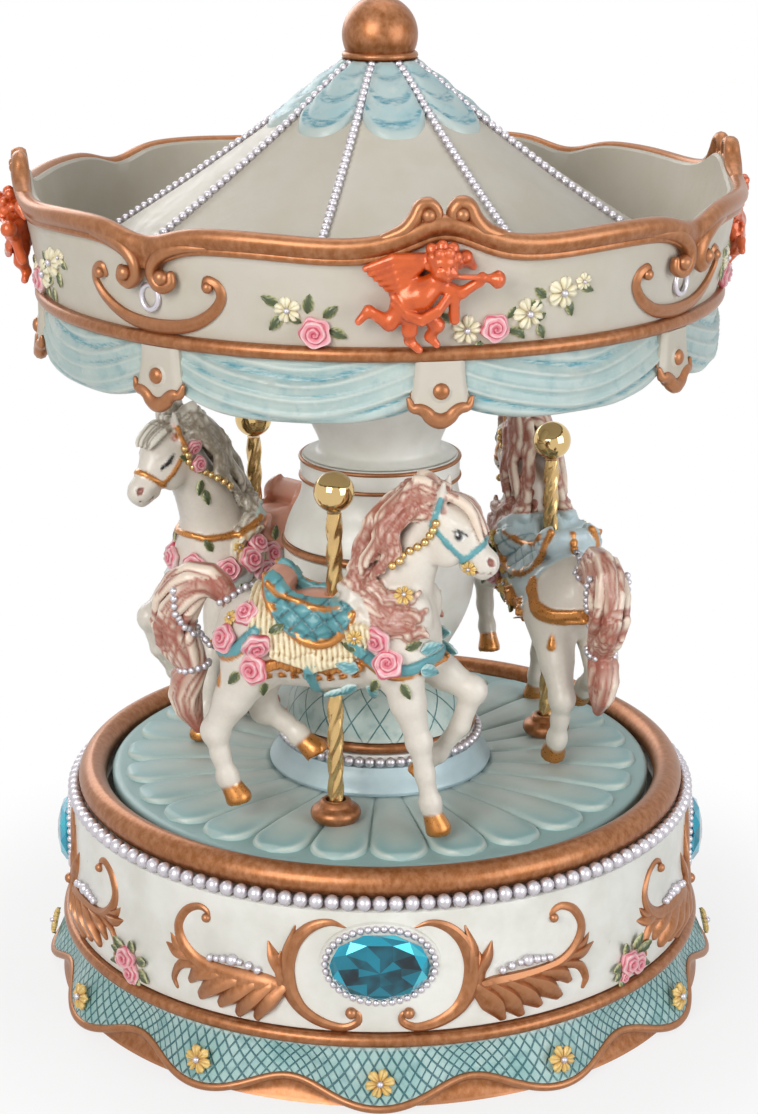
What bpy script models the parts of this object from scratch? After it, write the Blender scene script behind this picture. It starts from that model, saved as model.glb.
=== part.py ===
"""Wind up music box: a three-horse carousel on a drum that holds a spring movement.

Origin: centre of the footprint on the table. +Z is up, -Y is the front, +X is the right.
An azimuth is counted from the front towards +X. Everything is in metres.
"""
import math

import bmesh
import bpy
from mathutils import Matrix, Vector

MM = 0.001

# ---- clearances -----------------------------------------------------------------------------
GAP = 0.3 * MM               # between two pieces that touch
RUN = 0.6 * MM               # around a pole or shaft that moves

# ---- drum and skirt -------------------------------------------------------------------------
FELT_T = 0.8 * MM
DRUM_TOP_R = 83.0 * MM
DRUM_TOP_Z = 50.4 * MM
DRUM_FLARE = 2.0 * MM        # how far the drum widens downwards
DRUM_LOW_R = DRUM_TOP_R + DRUM_FLARE
FOOT_SET_IN = 1.6 * MM
FOOT_OUT_R = DRUM_TOP_R - FOOT_SET_IN    # plain foot wall of the drum, hidden by the skirt
WALL = 4.5 * MM
MOULD_Z = 18.8 * MM          # top of the gold moulding
MOULD_H = 3.6 * MM
MOULD_OUT = 1.6 * MM
MOULD_R = DRUM_LOW_R + MOULD_OUT
SKIRT_LOBES = 12
SKIRT_FLARE = 1.8 * MM
SKIRT_HEM_R = MOULD_R + SKIRT_FLARE
SKIRT_WAVE = 2.6 * MM
SKIRT_HEM_Z = 0.4 * MM
SKIRT_T = 2.4 * MM
DECK_DROP = 6.8 * MM         # deck below the drum's top edge
DECK_Z = DRUM_TOP_Z - DECK_DROP
DECK_T = 2.6 * MM

# ---- rim ------------------------------------------------------------------------------------
RIM_SET_IN = 5.2 * MM
RIM_SEAT = 1.6 * MM
RIM_TUBE = 3.7 * MM
RIM_R = DRUM_TOP_R - RIM_SET_IN          # centre line of the gold rim
RIM_Z = DRUM_TOP_Z + RIM_TUBE + RIM_SEAT
BEAD_R = 1.6 * MM            # silver pearls

# ---- turntable ------------------------------------------------------------------------------
TABLE_RUN = 1.6 * MM         # between the turntable and the rim
TABLE_PROUD = 1.6 * MM       # its top above the rim's centre line
TABLE_R = RIM_R - RIM_TUBE - TABLE_RUN
TABLE_Z = RIM_Z + TABLE_PROUD
TABLE_T = 3.4 * MM
PETAL_MARGIN = 3.0 * MM
PETALS = 26
PETAL_H = 1.0 * MM
PETAL_IN_R = 31.0 * MM
PETAL_OUT_R = TABLE_R - PETAL_MARGIN

# ---- poles and horses -----------------------------------------------------------------------
POLE_R = 2.0 * MM
POLE_CIRCLE = 48.0 * MM
BALL_R = 5.0 * MM
POLE_H = 86.4 * MM           # turntable to the centre of a pole ball, at the bottom of the travel
BALL_Z = TABLE_Z + POLE_H
COLLAR_R = 6.4 * MM
COLLAR_H = 5.8 * MM
HORSES = (("front", -13.5, 1.5 * MM), ("right", 106.5, -1.2 * MM), ("left", 226.5, 0.0))
CAM_H = 2.2 * MM             # track under the poles
CAM_W = 8.0 * MM

# ---- column ---------------------------------------------------------------------------------
SPINDLE_R = 2.0 * MM
FOOT_R = 29.4 * MM
BULB_R = 25.4 * MM
NECK_R = 15.4 * MM
VASE_R = 25.6 * MM
COLLAR_DRUM_R = 20.8 * MM
COLLAR_DRUM_H = 6.0 * MM
CONE_R = 15.6 * MM
CONE_TOP_R = 29.0 * MM
FOOT_H = 7.1 * MM
RING_H = 2.6 * MM
BULB_H = 18.2 * MM           # pearls, gold ring and bulb together
SHOULDER_H = 36.8 * MM
NECK_H = 17.4 * MM
CONE_H = 33.2 * MM
FOOT_TOP_Z = TABLE_Z + FOOT_H
BULB_TOP_Z = FOOT_TOP_Z + BULB_H
SHOULDER_Z = BULB_TOP_Z + SHOULDER_H
COLLAR_DRUM_Z = SHOULDER_Z + NECK_H

# ---- canopy ---------------------------------------------------------------------------------
CEILING_Z = COLLAR_DRUM_Z + COLLAR_DRUM_H + CONE_H
CEILING_T = 3.0 * MM
CEILING_SET_IN = 5.2 * MM
BAND_R = 86.2 * MM
BAND_RISE = 11.9 * MM        # band above the ceiling
BAND_Z = CEILING_Z + BAND_RISE
BAND_TUBE = 1.5 * MM
CEILING_R = BAND_R - CEILING_SET_IN
SWAGS = 8
SWAG_PHASE = 9.0             # azimuth of one of the tabs between the swags
SWAG_DROP = 14.8 * MM
CROWN_FLARE = 4.2 * MM
CROWN_R = BAND_R + CROWN_FLARE
CROWN_T = 3.2 * MM
CROWN_H = 26.7 * MM
CROWN_EDGE_Z = BAND_Z + CROWN_H          # top of the gold rail between the peaks
PEAK_RISE = 8.8 * MM
TROUGH_DROP = 2.6 * MM
RAIL_H = 5.0 * MM
ROOF_TOP_R = 9.0 * MM
ROOF_SLOPE = 0.678
ROOF_T = 3.4 * MM
EAVE_H = 3.2 * MM            # height of the roof's edge on the crown's foot
EAVE_R = BAND_R - CROWN_T - 1.6 * MM
EAVE_Z = BAND_Z + BAND_TUBE + GAP
ROOF_TOP_Z = EAVE_Z + EAVE_H + (EAVE_R - ROOF_TOP_R) * ROOF_SLOPE
NECK_PLATE_H = 1.5 * MM
FINIAL_R = 9.5 * MM

# ---- ornaments ------------------------------------------------------------------------------
GEM_W = 25.0 * MM
GEM_H = 18.0 * MM
GEM_T = 3.4 * MM
GEM_LIFT = 2.0 * MM          # above the middle of the wall
GEM_Z = (DRUM_TOP_Z + MOULD_Z) / 2 + GEM_LIFT

# ---- movement and key -----------------------------------------------------------------------
PLATE_Z = 12.0 * MM          # underside of the bottom plate
PLATE_T = 2.6 * MM
BED_T = 2.0 * MM
BARREL_R = 15.4 * MM
BARREL_LIFT = 6.4 * MM
BARREL_Z = PLATE_Z + BARREL_LIFT
BARREL_H = 8.0 * MM
HUB_R = 4.2 * MM
PINION_R = 4.6 * MM
CYLINDER_R = 7.0 * MM
CYLINDER_L = 27.0 * MM
ARBOR_R = 1.9 * MM
KEY_W = 24.0 * MM
KEY_Z = 1.8 * MM

RING_STEPS = 32              # facets of the large rings
CROWN_STEPS = 60             # facets of the crown wall and of its rail
SMALL_STEPS = 20             # facets of the column
HORSE_KEEP = 0.042           # share of the faces that a thinned figure keeps
CHERUB_KEEP = 0.05
AROUND_4 = (("front", 0.0), ("right", 90.0), ("back", 180.0), ("left", 270.0))
CORNERS_4 = (45.0, 135.0, 225.0, 315.0)
PEAKS_4 = tuple(SWAG_PHASE + 90.0 * k for k in range(4))
TROUGHS_4 = tuple(SWAG_PHASE + 45.0 + 90.0 * k for k in range(4))
TABS_8 = tuple(SWAG_PHASE + 360.0 / SWAGS * k for k in range(SWAGS))


# =============================================================================================
# tools
# =============================================================================================
def clear_scene():
    for obj in list(bpy.data.objects):
        bpy.data.objects.remove(obj, do_unlink=True)


def finish(name, colour, roughness, metallic=0.0):
    """A Principled material in one colour."""
    mat = bpy.data.materials.new(name)
    mat.use_nodes = True
    shader = mat.node_tree.nodes["Principled BSDF"]
    shader.inputs["Base Color"].default_value = (*colour, 1.0)
    shader.inputs["Roughness"].default_value = roughness
    shader.inputs["Metallic"].default_value = metallic
    return mat


def polar(radius, azimuth, z=0.0):
    """The point at an azimuth in degrees, from the front towards +X."""
    a = math.radians(azimuth)
    return Vector((radius * math.sin(a), -radius * math.cos(a), z))


def turn_to(azimuth):
    """Turns what was built at the front, at -Y, to an azimuth."""
    return Matrix.Rotation(math.radians(azimuth), 4, "Z")


def add_object(name, bm, material, smooth=True, location=(0, 0, 0), turn=0.0):
    """Closes a bmesh into a named object, with its faces pointing out."""
    bmesh.ops.remove_doubles(bm, verts=bm.verts, dist=1e-6)
    bmesh.ops.dissolve_degenerate(bm, edges=bm.edges, dist=1e-7)
    bmesh.ops.recalc_face_normals(bm, faces=bm.faces)
    mesh = bpy.data.meshes.new(name)
    bm.to_mesh(mesh)
    bm.free()
    if smooth:
        mesh.shade_smooth()
        mesh.set_sharp_from_angle(angle=math.radians(35))
    mesh.materials.append(material)
    obj = bpy.data.objects.new(name, mesh)
    obj.location = location
    obj.rotation_euler = (0, 0, math.radians(turn))
    bpy.context.scene.collection.objects.link(obj)
    return obj


def spin_outline(bm, outline, steps):
    """Turns an outline of (radius, height) points about Z. An outline that starts and ends
    on the axis makes a solid; any other is closed into a ring."""
    open_ends = outline[0][0] < 1e-9 and outline[-1][0] < 1e-9
    verts = [bm.verts.new((r, 0, z)) for r, z in outline]
    pairs = list(zip(verts, verts[1:]))
    if not open_ends:
        pairs.append((verts[-1], verts[0]))
    edges = [bm.edges.new(pair) for pair in pairs]
    bmesh.ops.spin(bm, geom=verts + edges, cent=(0, 0, 0), axis=(0, 0, 1),
                   angle=2 * math.pi, steps=steps, use_merge=True)


def turned(name, outline, material, steps=RING_STEPS, location=(0, 0, 0), lay=None):
    """A turned piece. lay is a matrix that lays it down before it is placed."""
    bm = bmesh.new()
    spin_outline(bm, outline, steps)
    if lay is not None:
        bmesh.ops.transform(bm, matrix=lay, verts=bm.verts)
    return add_object(name, bm, material, location=location)


def join(obj, name, bm):
    """Joins more material to an object."""
    more = obj.modifiers.new(name, "BOOLEAN")
    more.operation = "UNION"
    more.solver = "EXACT"
    more.object = guide(add_object(name, bm, bpy.data.materials["cutter"], False))


def tube_outline(radius, tube, z, sides=6):
    """The outline of a round ring."""
    points = []
    for i in range(sides):
        a = 2 * math.pi * (i + 0.5) / sides
        points.append((radius + tube * math.cos(a), z + tube * math.sin(a)))
    return points


def plate_outline(inner, outer, low, high):
    return [(inner, low), (outer, low), (outer, high), (inner, high)]


def swept_ring(name, section_at, steps, material):
    """Joins the closed section at each azimuth to the next one."""
    bm = bmesh.new()
    rings = []
    for i in range(steps):
        azimuth = 360.0 * i / steps
        rings.append([bm.verts.new(polar(r, azimuth, z)) for r, z in section_at(azimuth)])
    for i in range(steps):
        here, there = rings[i], rings[(i + 1) % steps]
        for j in range(len(here)):
            k = (j + 1) % len(here)
            bm.faces.new((here[j], here[k], there[k], there[j]))
    return add_object(name, bm, material)


def box(bm, low, high, matrix=None):
    """An upright box between two corners."""
    size = [b - a for a, b in zip(low, high)]
    centre = [(a + b) / 2 for a, b in zip(low, high)]
    place = Matrix.Translation(centre) @ Matrix.Diagonal((*size, 1.0))
    if matrix is not None:
        place = matrix @ place
    bmesh.ops.create_cube(bm, size=1.0, matrix=place)


def rod(bm, start, end, radius, end_radius=None, sides=8):
    """A straight rod or cone between two points."""
    start, end = Vector(start), Vector(end)
    way = end - start
    place = Matrix.Translation((start + end) / 2) @ way.to_track_quat("Z", "Y").to_matrix().to_4x4()
    bmesh.ops.create_cone(bm, cap_ends=True, segments=sides, radius1=radius,
                          radius2=radius if end_radius is None else end_radius,
                          depth=way.length, matrix=place)


def lump(bm, centre, size, matrix=None, detail=2):
    """A ball stretched to three half sizes."""
    place = Matrix.Translation(centre) @ Matrix.Diagonal((*size, 1.0))
    if matrix is not None:
        place = matrix @ place
    bmesh.ops.create_icosphere(bm, subdivisions=detail, radius=1.0, matrix=place)


def limb(bm, start, start_r, end, end_r, matrix=None):
    """A limb with round ends."""
    turn = matrix or Matrix.Identity(4)
    start, end = turn @ Vector(start), turn @ Vector(end)
    rod(bm, start, end, start_r, end_r, sides=12)
    lump(bm, start, (start_r,) * 3)
    lump(bm, end, (end_r,) * 3)


def modelled(name, bm, material, grain, keep, location=(0, 0, 0), turn=0.0):
    """Blends overlapping limbs into one skin, then thins its faces."""
    obj = add_object(name, bm, material, False, location, turn)
    skin = obj.modifiers.new("skin", "REMESH")
    skin.mode = "VOXEL"
    skin.voxel_size = grain
    soft = obj.modifiers.new("soften", "SMOOTH")
    soft.factor = 0.5
    soft.iterations = 2
    thin = obj.modifiers.new("thin", "DECIMATE")
    thin.ratio = keep
    return obj


def guide(obj):
    """Marks an object as a cutter, which is not a part."""
    obj.hide_render = True
    obj.display_type = "WIRE"
    return obj


def cut(obj, cutter):
    tool = obj.modifiers.new("cut", "BOOLEAN")
    tool.operation = "DIFFERENCE"
    tool.solver = "EXACT"
    tool.object = cutter


def bore(name, radius, low, high, places, sides=10):
    """A cutter of one upright pin at each place."""
    bm = bmesh.new()
    for place in places:
        rod(bm, (place[0], place[1], low), (place[0], place[1], high), radius, sides=sides)
    return guide(add_object(name, bm, bpy.data.materials["cutter"]))


def wrapped(x, out, z, radius):
    """Lays a flat relief on a wall: x runs along the wall, out stands away from it."""
    a = x / radius
    return Vector(((radius + out) * math.sin(a), -(radius + out) * math.cos(a), z))


# =============================================================================================
# drum
# =============================================================================================
def drum_radius(z):
    """Outer radius of the drum wall, which widens downwards."""
    share = (DRUM_TOP_Z - z) / (DRUM_TOP_Z - MOULD_Z)
    return DRUM_TOP_R + (DRUM_LOW_R - DRUM_TOP_R) * share


def make_drum(resin):
    inner = FOOT_OUT_R - WALL
    outline = [
        (inner, FELT_T + GAP), (FOOT_OUT_R, FELT_T + GAP), (FOOT_OUT_R, MOULD_Z + GAP),
        (DRUM_LOW_R, MOULD_Z + GAP), (DRUM_TOP_R, DRUM_TOP_Z),
        (RIM_R - RIM_TUBE * 0.4, DRUM_TOP_Z + 0.8 * MM), (TABLE_R + 2 * MM, DRUM_TOP_Z),
        (TABLE_R + 2 * MM, DECK_Z), (SPINDLE_R + RUN, DECK_Z), (SPINDLE_R + RUN, DECK_Z - DECK_T),
        (inner, DECK_Z - DECK_T),
    ]
    add_screw_posts(turned("base_drum", outline, resin))


def make_felt(felt):
    turned("felt_ring", plate_outline(FOOT_OUT_R - WALL, FOOT_OUT_R, 0.0, FELT_T), felt)


def make_moulding(gold):
    low = MOULD_Z - MOULD_H
    inner = FOOT_OUT_R + GAP
    outline = [(inner, low), (MOULD_R - 1.0 * MM, low), (MOULD_R, low + 1.2 * MM),
               (MOULD_R, MOULD_Z - 1.0 * MM), (MOULD_R - 1.2 * MM, MOULD_Z), (inner, MOULD_Z)]
    turned("lower_moulding", outline, gold)


def make_skirt(resin):
    top = MOULD_Z - MOULD_H - GAP

    def section(azimuth):
        wave = math.cos(math.radians(SKIRT_LOBES * azimuth))
        hem = SKIRT_HEM_Z + 1.8 * MM * (1 - wave)
        out = SKIRT_HEM_R + SKIRT_WAVE * wave
        mid = (top + hem) / 2 + 1.5 * MM
        mid_out = FOOT_OUT_R + 4.4 * MM + 0.5 * SKIRT_WAVE * wave
        inner = FOOT_OUT_R + 2 * GAP
        return [(inner, top), (MOULD_R - 1.6 * MM, top), (mid_out, mid), (out, hem + 1.4 * MM),
                (out - 0.6 * MM, hem), (out - SKIRT_T, hem), (max(mid_out - SKIRT_T, inner), mid)]

    swept_ring("base_skirt", section, 5 * SKIRT_LOBES, resin)


def make_rim(gold, silver):
    turned("rim_ring", tube_outline(RIM_R, RIM_TUBE, RIM_Z, 7), gold)
    reach = RIM_R + (RIM_TUBE + BEAD_R + GAP) * math.cos(math.radians(39))
    height = RIM_Z - (RIM_TUBE + BEAD_R + GAP) * math.sin(math.radians(39))
    turned("rim_pearl_ring", tube_outline(reach, BEAD_R, height, 5), silver)


def make_gems(glass):
    """An oval faceted gem in the middle of each side."""
    wall = drum_radius(GEM_Z - GEM_H / 2)
    outline = [(0, 0), (0.96, 0), (1.0, 0.25), (0.58, 1.0), (0, 1.0)]
    oval = Matrix.Rotation(math.pi / 2, 4, "X") @ Matrix.Diagonal((GEM_W / 2, GEM_H / 2, GEM_T, 1.0))
    for name, azimuth in AROUND_4:
        lay = turn_to(azimuth) @ Matrix.Translation((0, -wall - GAP, GEM_Z)) @ oval
        turned("gem_" + name, outline, glass, 14, lay=lay)


# =============================================================================================
# underside and movement
# =============================================================================================
SCREW_R = 1.5 * MM
SCREW_MARGIN = 8.9 * MM
SCREW_CIRCLE = FOOT_OUT_R - WALL - SCREW_MARGIN


def make_bottom_plate(board, steel):
    outer = FOOT_OUT_R - WALL - GAP
    plate = turned("bottom_plate",
                   plate_outline(ARBOR_R + 2 * RUN, outer, PLATE_Z, PLATE_Z + PLATE_T), board)
    places = [polar(SCREW_CIRCLE, a) for a in CORNERS_4]
    cut(plate, bore("screw_bore", SCREW_R + GAP, PLATE_Z - MM, PLATE_Z + PLATE_T + MM, places))
    shape = [(0, PLATE_Z - 1.3 * MM), (2.8 * MM, PLATE_Z - 1.1 * MM), (3.0 * MM, PLATE_Z - GAP),
             (SCREW_R, PLATE_Z - GAP), (SCREW_R, PLATE_Z + 6 * MM), (0, PLATE_Z + 7 * MM)]
    for number, place in enumerate(places, 1):
        turned("plate_screw_" + str(number), shape, steel, 8, (place.x, place.y, 0))


def add_screw_posts(drum):
    """Posts under the deck that the plate screws bite into."""
    places = [polar(SCREW_CIRCLE, a) for a in CORNERS_4]
    bm = bmesh.new()
    low = PLATE_Z + PLATE_T + GAP
    for place in places:
        rod(bm, (place.x, place.y, low), (place.x, place.y, DECK_Z - DECK_T / 2), 4.5 * MM)
    join(drum, "post_guide", bm)
    cut(drum, bore("post_bore", SCREW_R + GAP, low - MM, PLATE_Z + 8 * MM, places, 8))


BED_Z = PLATE_Z + PLATE_T + GAP
CYL_Z = BARREL_Z + BARREL_H + GAP + PINION_R
CYL_Y = BARREL_R + 4.0 * MM
COMB_TIP = CYLINDER_R + 0.7 * MM
COMB_W = 15.0 * MM
COMB_T = 1.2 * MM
WORM_WHEEL_END = 4.6 * MM
WORM_ROOM = 5.0 * MM
FAN_Y = CYL_Y + CYLINDER_L + WORM_WHEEL_END + GAP + WORM_ROOM


def make_bedplate(steel):
    """The plate that carries the movement, with a cheek at each end of the cylinder."""
    bm = bmesh.new()
    half = COMB_TIP + COMB_W + 1.3 * MM
    box(bm, (-half, -BARREL_R - 3.6 * MM, BED_Z), (half, FAN_Y + 5.7 * MM, BED_Z + BED_T))
    plate = add_object("movement_bedplate", bm, steel, False)
    cheeks = bmesh.new()
    for y in (CYL_Y - 2.2 * MM, CYL_Y + CYLINDER_L + 0.6 * MM):
        box(cheeks, (-5 * MM, y, BED_Z + MM), (5 * MM, y + 1.6 * MM, CYL_Z + 4 * MM))
    box(cheeks, (COMB_TIP + COMB_W - 6 * MM, CYL_Y + MM, BED_Z + MM),
        (COMB_TIP + COMB_W, CYL_Y + CYLINDER_L - MM, CYL_Z - COMB_T - GAP))
    join(plate, "cheek_guide", cheeks)
    cut(plate, bore("arbor_bore", ARBOR_R + RUN, BED_Z - MM, BED_Z + BED_T + MM, [(0, 0)]))
    lying = bmesh.new()
    rod(lying, (0, CYL_Y - 4 * MM, CYL_Z), (0, CYL_Y + CYLINDER_L + 4 * MM, CYL_Z), 1.2 * MM + GAP)
    cut(plate, guide(add_object("journal_bore", lying, steel, False)))


def make_barrel(brass):
    top = BARREL_Z + BARREL_H
    outline = [(0, BARREL_Z), (BARREL_R - MM, BARREL_Z), (BARREL_R, BARREL_Z + MM), (BARREL_R, top),
               (BARREL_R - 3.4 * MM, top), (BARREL_R - 3.4 * MM, top - 1.2 * MM), (HUB_R, top - 1.2 * MM),
               (HUB_R, DECK_Z - DECK_T - 3 * MM), (0, DECK_Z - DECK_T - 3 * MM)]
    turned("spring_barrel", outline, brass, 24)


def make_cylinder(brass):
    """Pinion, arbor, pinned drum and worm wheel, turned on an axis along Y."""
    end = CYLINDER_L
    thin = 1.2 * MM
    outline = [(0, -7.2 * MM), (PINION_R, -7.2 * MM), (PINION_R, -4.2 * MM), (thin, -4.2 * MM),
               (thin, 0), (CYLINDER_R, 0), (CYLINDER_R, end), (thin, end), (thin, end + 3 * MM),
               (5.4 * MM, end + 3 * MM), (5.4 * MM, end + WORM_WHEEL_END), (0, end + WORM_WHEEL_END)]
    lay = Matrix.Rotation(-math.pi / 2, 4, "X")
    turned("pinned_cylinder", outline, brass, 12, (0, CYL_Y, CYL_Z), lay)


def make_comb(steel):
    """Comb of steel teeth on its heel block, just clear of the pins."""
    bm = bmesh.new()
    box(bm, (COMB_TIP, CYL_Y + MM, CYL_Z - COMB_T), (COMB_TIP + COMB_W, CYL_Y + CYLINDER_L - MM, CYL_Z))
    add_object("comb", bm, steel, False)


def make_governor(steel, brass):
    """Frame of the governor, and the worm shaft with its air brake."""
    bm = bmesh.new()
    low = BED_Z + BED_T + GAP
    box(bm, (-5.5 * MM, FAN_Y + 4.4 * MM, low), (5.5 * MM, FAN_Y + 7 * MM, CYL_Z + 6 * MM))
    frame = add_object("governor_frame", bm, steel, False)
    arms = bmesh.new()
    box(arms, (-4 * MM, FAN_Y - 2.4 * MM, low), (4 * MM, FAN_Y + 5 * MM, low + 1.6 * MM))
    join(frame, "arm_guide", arms)
    shape = [(0, low + 1.6 * MM + GAP), (1.0 * MM, low + 1.6 * MM + GAP), (1.0 * MM, low + 4 * MM),
             (2.2 * MM, low + 4.6 * MM), (2.2 * MM, low + 14 * MM), (1.0 * MM, low + 14.6 * MM),
             (1.0 * MM, low + 16 * MM), (4.0 * MM, low + 16 * MM), (4.0 * MM, low + 17.4 * MM),
             (0, low + 17.4 * MM)]
    turned("governor_fan", shape, brass, 10, (0, FAN_Y, 0))


def make_key(steel, brass):
    """Winding arbor through the plates, and the butterfly key screwed on it."""
    hub_top = PLATE_Z - 1.6 * MM
    outline = [(0, KEY_Z + 3 * MM), (ARBOR_R, KEY_Z + 3 * MM), (ARBOR_R, BARREL_Z - GAP), (0, BARREL_Z - GAP)]
    turned("winding_arbor", outline, steel, 10)
    hub = [(0, KEY_Z), (3.6 * MM, KEY_Z), (3.6 * MM, hub_top), (ARBOR_R + GAP, hub_top),
           (ARBOR_R + GAP, KEY_Z + 3 * MM - GAP), (0, KEY_Z + 3 * MM - GAP)]
    key = turned("winding_key", hub, brass, 12)
    wings = bmesh.new()
    for side in (-1, 1):
        lump(wings, (side * KEY_W / 3.1, 0, (KEY_Z + hub_top) / 2),
             (KEY_W / 5.2, 1.1 * MM, (hub_top - KEY_Z) / 2), detail=2)
    join(key, "wing_guide", wings)


# =============================================================================================
# turntable, poles and column
# =============================================================================================
def pole_places():
    return [polar(POLE_CIRCLE, azimuth) for _, azimuth, _ in HORSES]


def make_track(resin, brass):
    """Track that the pole feet run on, and the bush that carries the turntable."""
    outline = plate_outline(POLE_CIRCLE - CAM_W / 2, POLE_CIRCLE + CAM_W / 2, DECK_Z + GAP, DECK_Z + GAP + CAM_H)
    turned("cam_track", outline, resin)
    outline = plate_outline(SPINDLE_R + RUN, 7 * MM, DECK_Z + GAP, TABLE_Z - TABLE_T - GAP)
    turned("spindle_bush", outline, brass, 16)


def make_turntable(resin):
    """Disc with rounded petals standing out of its top."""
    per_petal = 3

    def section(azimuth):
        place = (azimuth * PETALS / 360.0) % 1.0
        groove = min(place, 1 - place) < 0.01
        rise = 0.0 if groove else PETAL_H
        tip = PETAL_OUT_R - (4.4 * MM if groove else 0.6 * MM)
        return [(SPINDLE_R + GAP, TABLE_Z - TABLE_T), (TABLE_R, TABLE_Z - TABLE_T), (TABLE_R, TABLE_Z - 0.8 * MM),
                (TABLE_R - 0.8 * MM, TABLE_Z), (tip + 0.8 * MM, TABLE_Z), (tip - 0.8 * MM, TABLE_Z + rise),
                (PETAL_IN_R, TABLE_Z), (SPINDLE_R + GAP, TABLE_Z)]

    table = swept_ring("turntable", section, PETALS * per_petal, resin)
    cut(table, bore("pole_bore", POLE_R + RUN, TABLE_Z - TABLE_T - MM, TABLE_Z + 3 * MM, pole_places()))


def make_collars(gold):
    low = TABLE_Z + PETAL_H + GAP
    shape = [(POLE_R + RUN, low), (COLLAR_R - 1.8 * MM, low), (COLLAR_R, low + COLLAR_H * 0.35),
             (COLLAR_R - 0.4 * MM, low + COLLAR_H * 0.6), (COLLAR_R - 2.4 * MM, low + COLLAR_H),
             (POLE_R + RUN, low + COLLAR_H)]
    for name, azimuth, _ in HORSES:
        place = polar(POLE_CIRCLE, azimuth)
        turned("pole_collar_" + name, shape, gold, 12, (place.x, place.y, 0))


def make_spindle(steel):
    low = DECK_Z - DECK_T - 3 * MM + GAP
    high = ROOF_TOP_Z + NECK_PLATE_H + 6 * MM
    turned("spindle", [(0, low), (SPINDLE_R, low), (SPINDLE_R, high), (0, high)], steel, 10)


def column_piece(name, outer, material):
    """A column piece with the spindle's bore. outer runs upwards as (radius, height)."""
    bore_r = SPINDLE_R + GAP
    outline = [(bore_r, outer[0][1])] + list(outer) + [(bore_r, outer[-1][1])]
    turned(name, outline, material, SMALL_STEPS)


def make_column(pale, white, gold, silver):
    foot_low = TABLE_Z + GAP
    column_piece("column_foot", [(FOOT_R, foot_low), (FOOT_R - 0.6 * MM, foot_low + 2 * MM),
                                 (BULB_R + 1.2 * MM, FOOT_TOP_Z)], pale)
    bead_z = FOOT_TOP_Z + GAP + BEAD_R
    column_piece("column_pearl_ring", [(BULB_R, bead_z - BEAD_R), (BULB_R + 1.4 * MM, bead_z),
                                       (BULB_R, bead_z + BEAD_R)], silver)
    ring_z = bead_z + BEAD_R + GAP
    column_piece("column_gold_ring", [(BULB_R + 0.2 * MM, ring_z), (BULB_R + 0.6 * MM, ring_z + RING_H / 2),
                                      (BULB_R - 0.2 * MM, ring_z + RING_H)], gold)
    low = ring_z + RING_H + GAP
    dome = []
    for i in range(6):
        t = i / 5.0
        dome.append((NECK_R + (BULB_R - 0.6 * MM - NECK_R) * math.cos(t * math.pi / 2) ** 0.8,
                     low + (BULB_TOP_Z - low) * math.sin(t * math.pi / 2)))
    dome[-1] = (NECK_R, BULB_TOP_Z)
    column_piece("column_bulb", dome, pale)
    make_vase(white, gold)
    make_column_top(white)


def make_vase(white, gold):
    """Vase that swells to its shoulder and draws in under the collar drum."""
    low = BULB_TOP_Z + GAP
    waist = SHOULDER_Z - 2.0 * MM
    outer = []
    for i in range(5):
        t = i / 4.0
        outer.append((NECK_R + (VASE_R - NECK_R) * math.sin(t * math.pi / 2), low + (waist - low) * t))
    ring = RING_H / 2
    outer += [(VASE_R, SHOULDER_Z - ring), (VASE_R - 1.2 * MM, SHOULDER_Z - ring + GAP),
              (VASE_R - 1.2 * MM, SHOULDER_Z + ring - GAP), (VASE_R, SHOULDER_Z + ring)]
    top = COLLAR_DRUM_Z - GAP
    start = SHOULDER_Z + ring
    for t in (0.4, 0.75, 1.0):
        outer.append((COLLAR_DRUM_R + (VASE_R - COLLAR_DRUM_R) * (1 - t) ** 1.2 - 0.4 * MM * t,
                      start + (top - start) * t))
    column_piece("column_vase", outer, white)
    inner = VASE_R - 1.2 * MM + GAP
    shape = [(inner, SHOULDER_Z - ring + 2 * GAP), (VASE_R + 0.5 * MM, SHOULDER_Z - 0.7 * MM),
             (VASE_R + 0.5 * MM, SHOULDER_Z + 0.7 * MM), (inner, SHOULDER_Z + ring - 2 * GAP)]
    turned("column_shoulder_ring", shape, gold, SMALL_STEPS)


def make_column_top(white):
    high = COLLAR_DRUM_Z + COLLAR_DRUM_H
    column_piece("column_drum", [(COLLAR_DRUM_R, COLLAR_DRUM_Z), (COLLAR_DRUM_R + 0.3 * MM, high - 3 * MM),
                                 (COLLAR_DRUM_R, high)], white)
    column_piece("column_cone", [(CONE_R, high + GAP), (CONE_TOP_R, CEILING_Z - GAP)], white)


# =============================================================================================
# canopy
# =============================================================================================
def bump(azimuth, centres, width):
    """1 at each centre, falling smoothly to 0 away from it."""
    near = min(abs((azimuth - c + 180) % 360 - 180) for c in centres)
    return math.exp(-(near / width) ** 2)


def crown_edge(azimuth):
    """Height of the top of the gold rail."""
    rise = PEAK_RISE * bump(azimuth, PEAKS_4, 9.0)
    return CROWN_EDGE_Z + rise - TROUGH_DROP * bump(azimuth, TROUGHS_4, 10.0)


def crown_radius(z):
    """Outer radius of the crown wall, which flares upwards."""
    low = BAND_Z + BAND_TUBE
    share = max(0.0, min(1.0, (z - low) / (CROWN_EDGE_Z - low)))
    return BAND_R - 0.6 * MM + (CROWN_R - BAND_R + 0.6 * MM) * share ** 0.85


def make_ceiling(resin):
    turned("canopy_ceiling", plate_outline(SPINDLE_R + GAP, CEILING_R, CEILING_Z, CEILING_Z + CEILING_T), resin)


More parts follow.
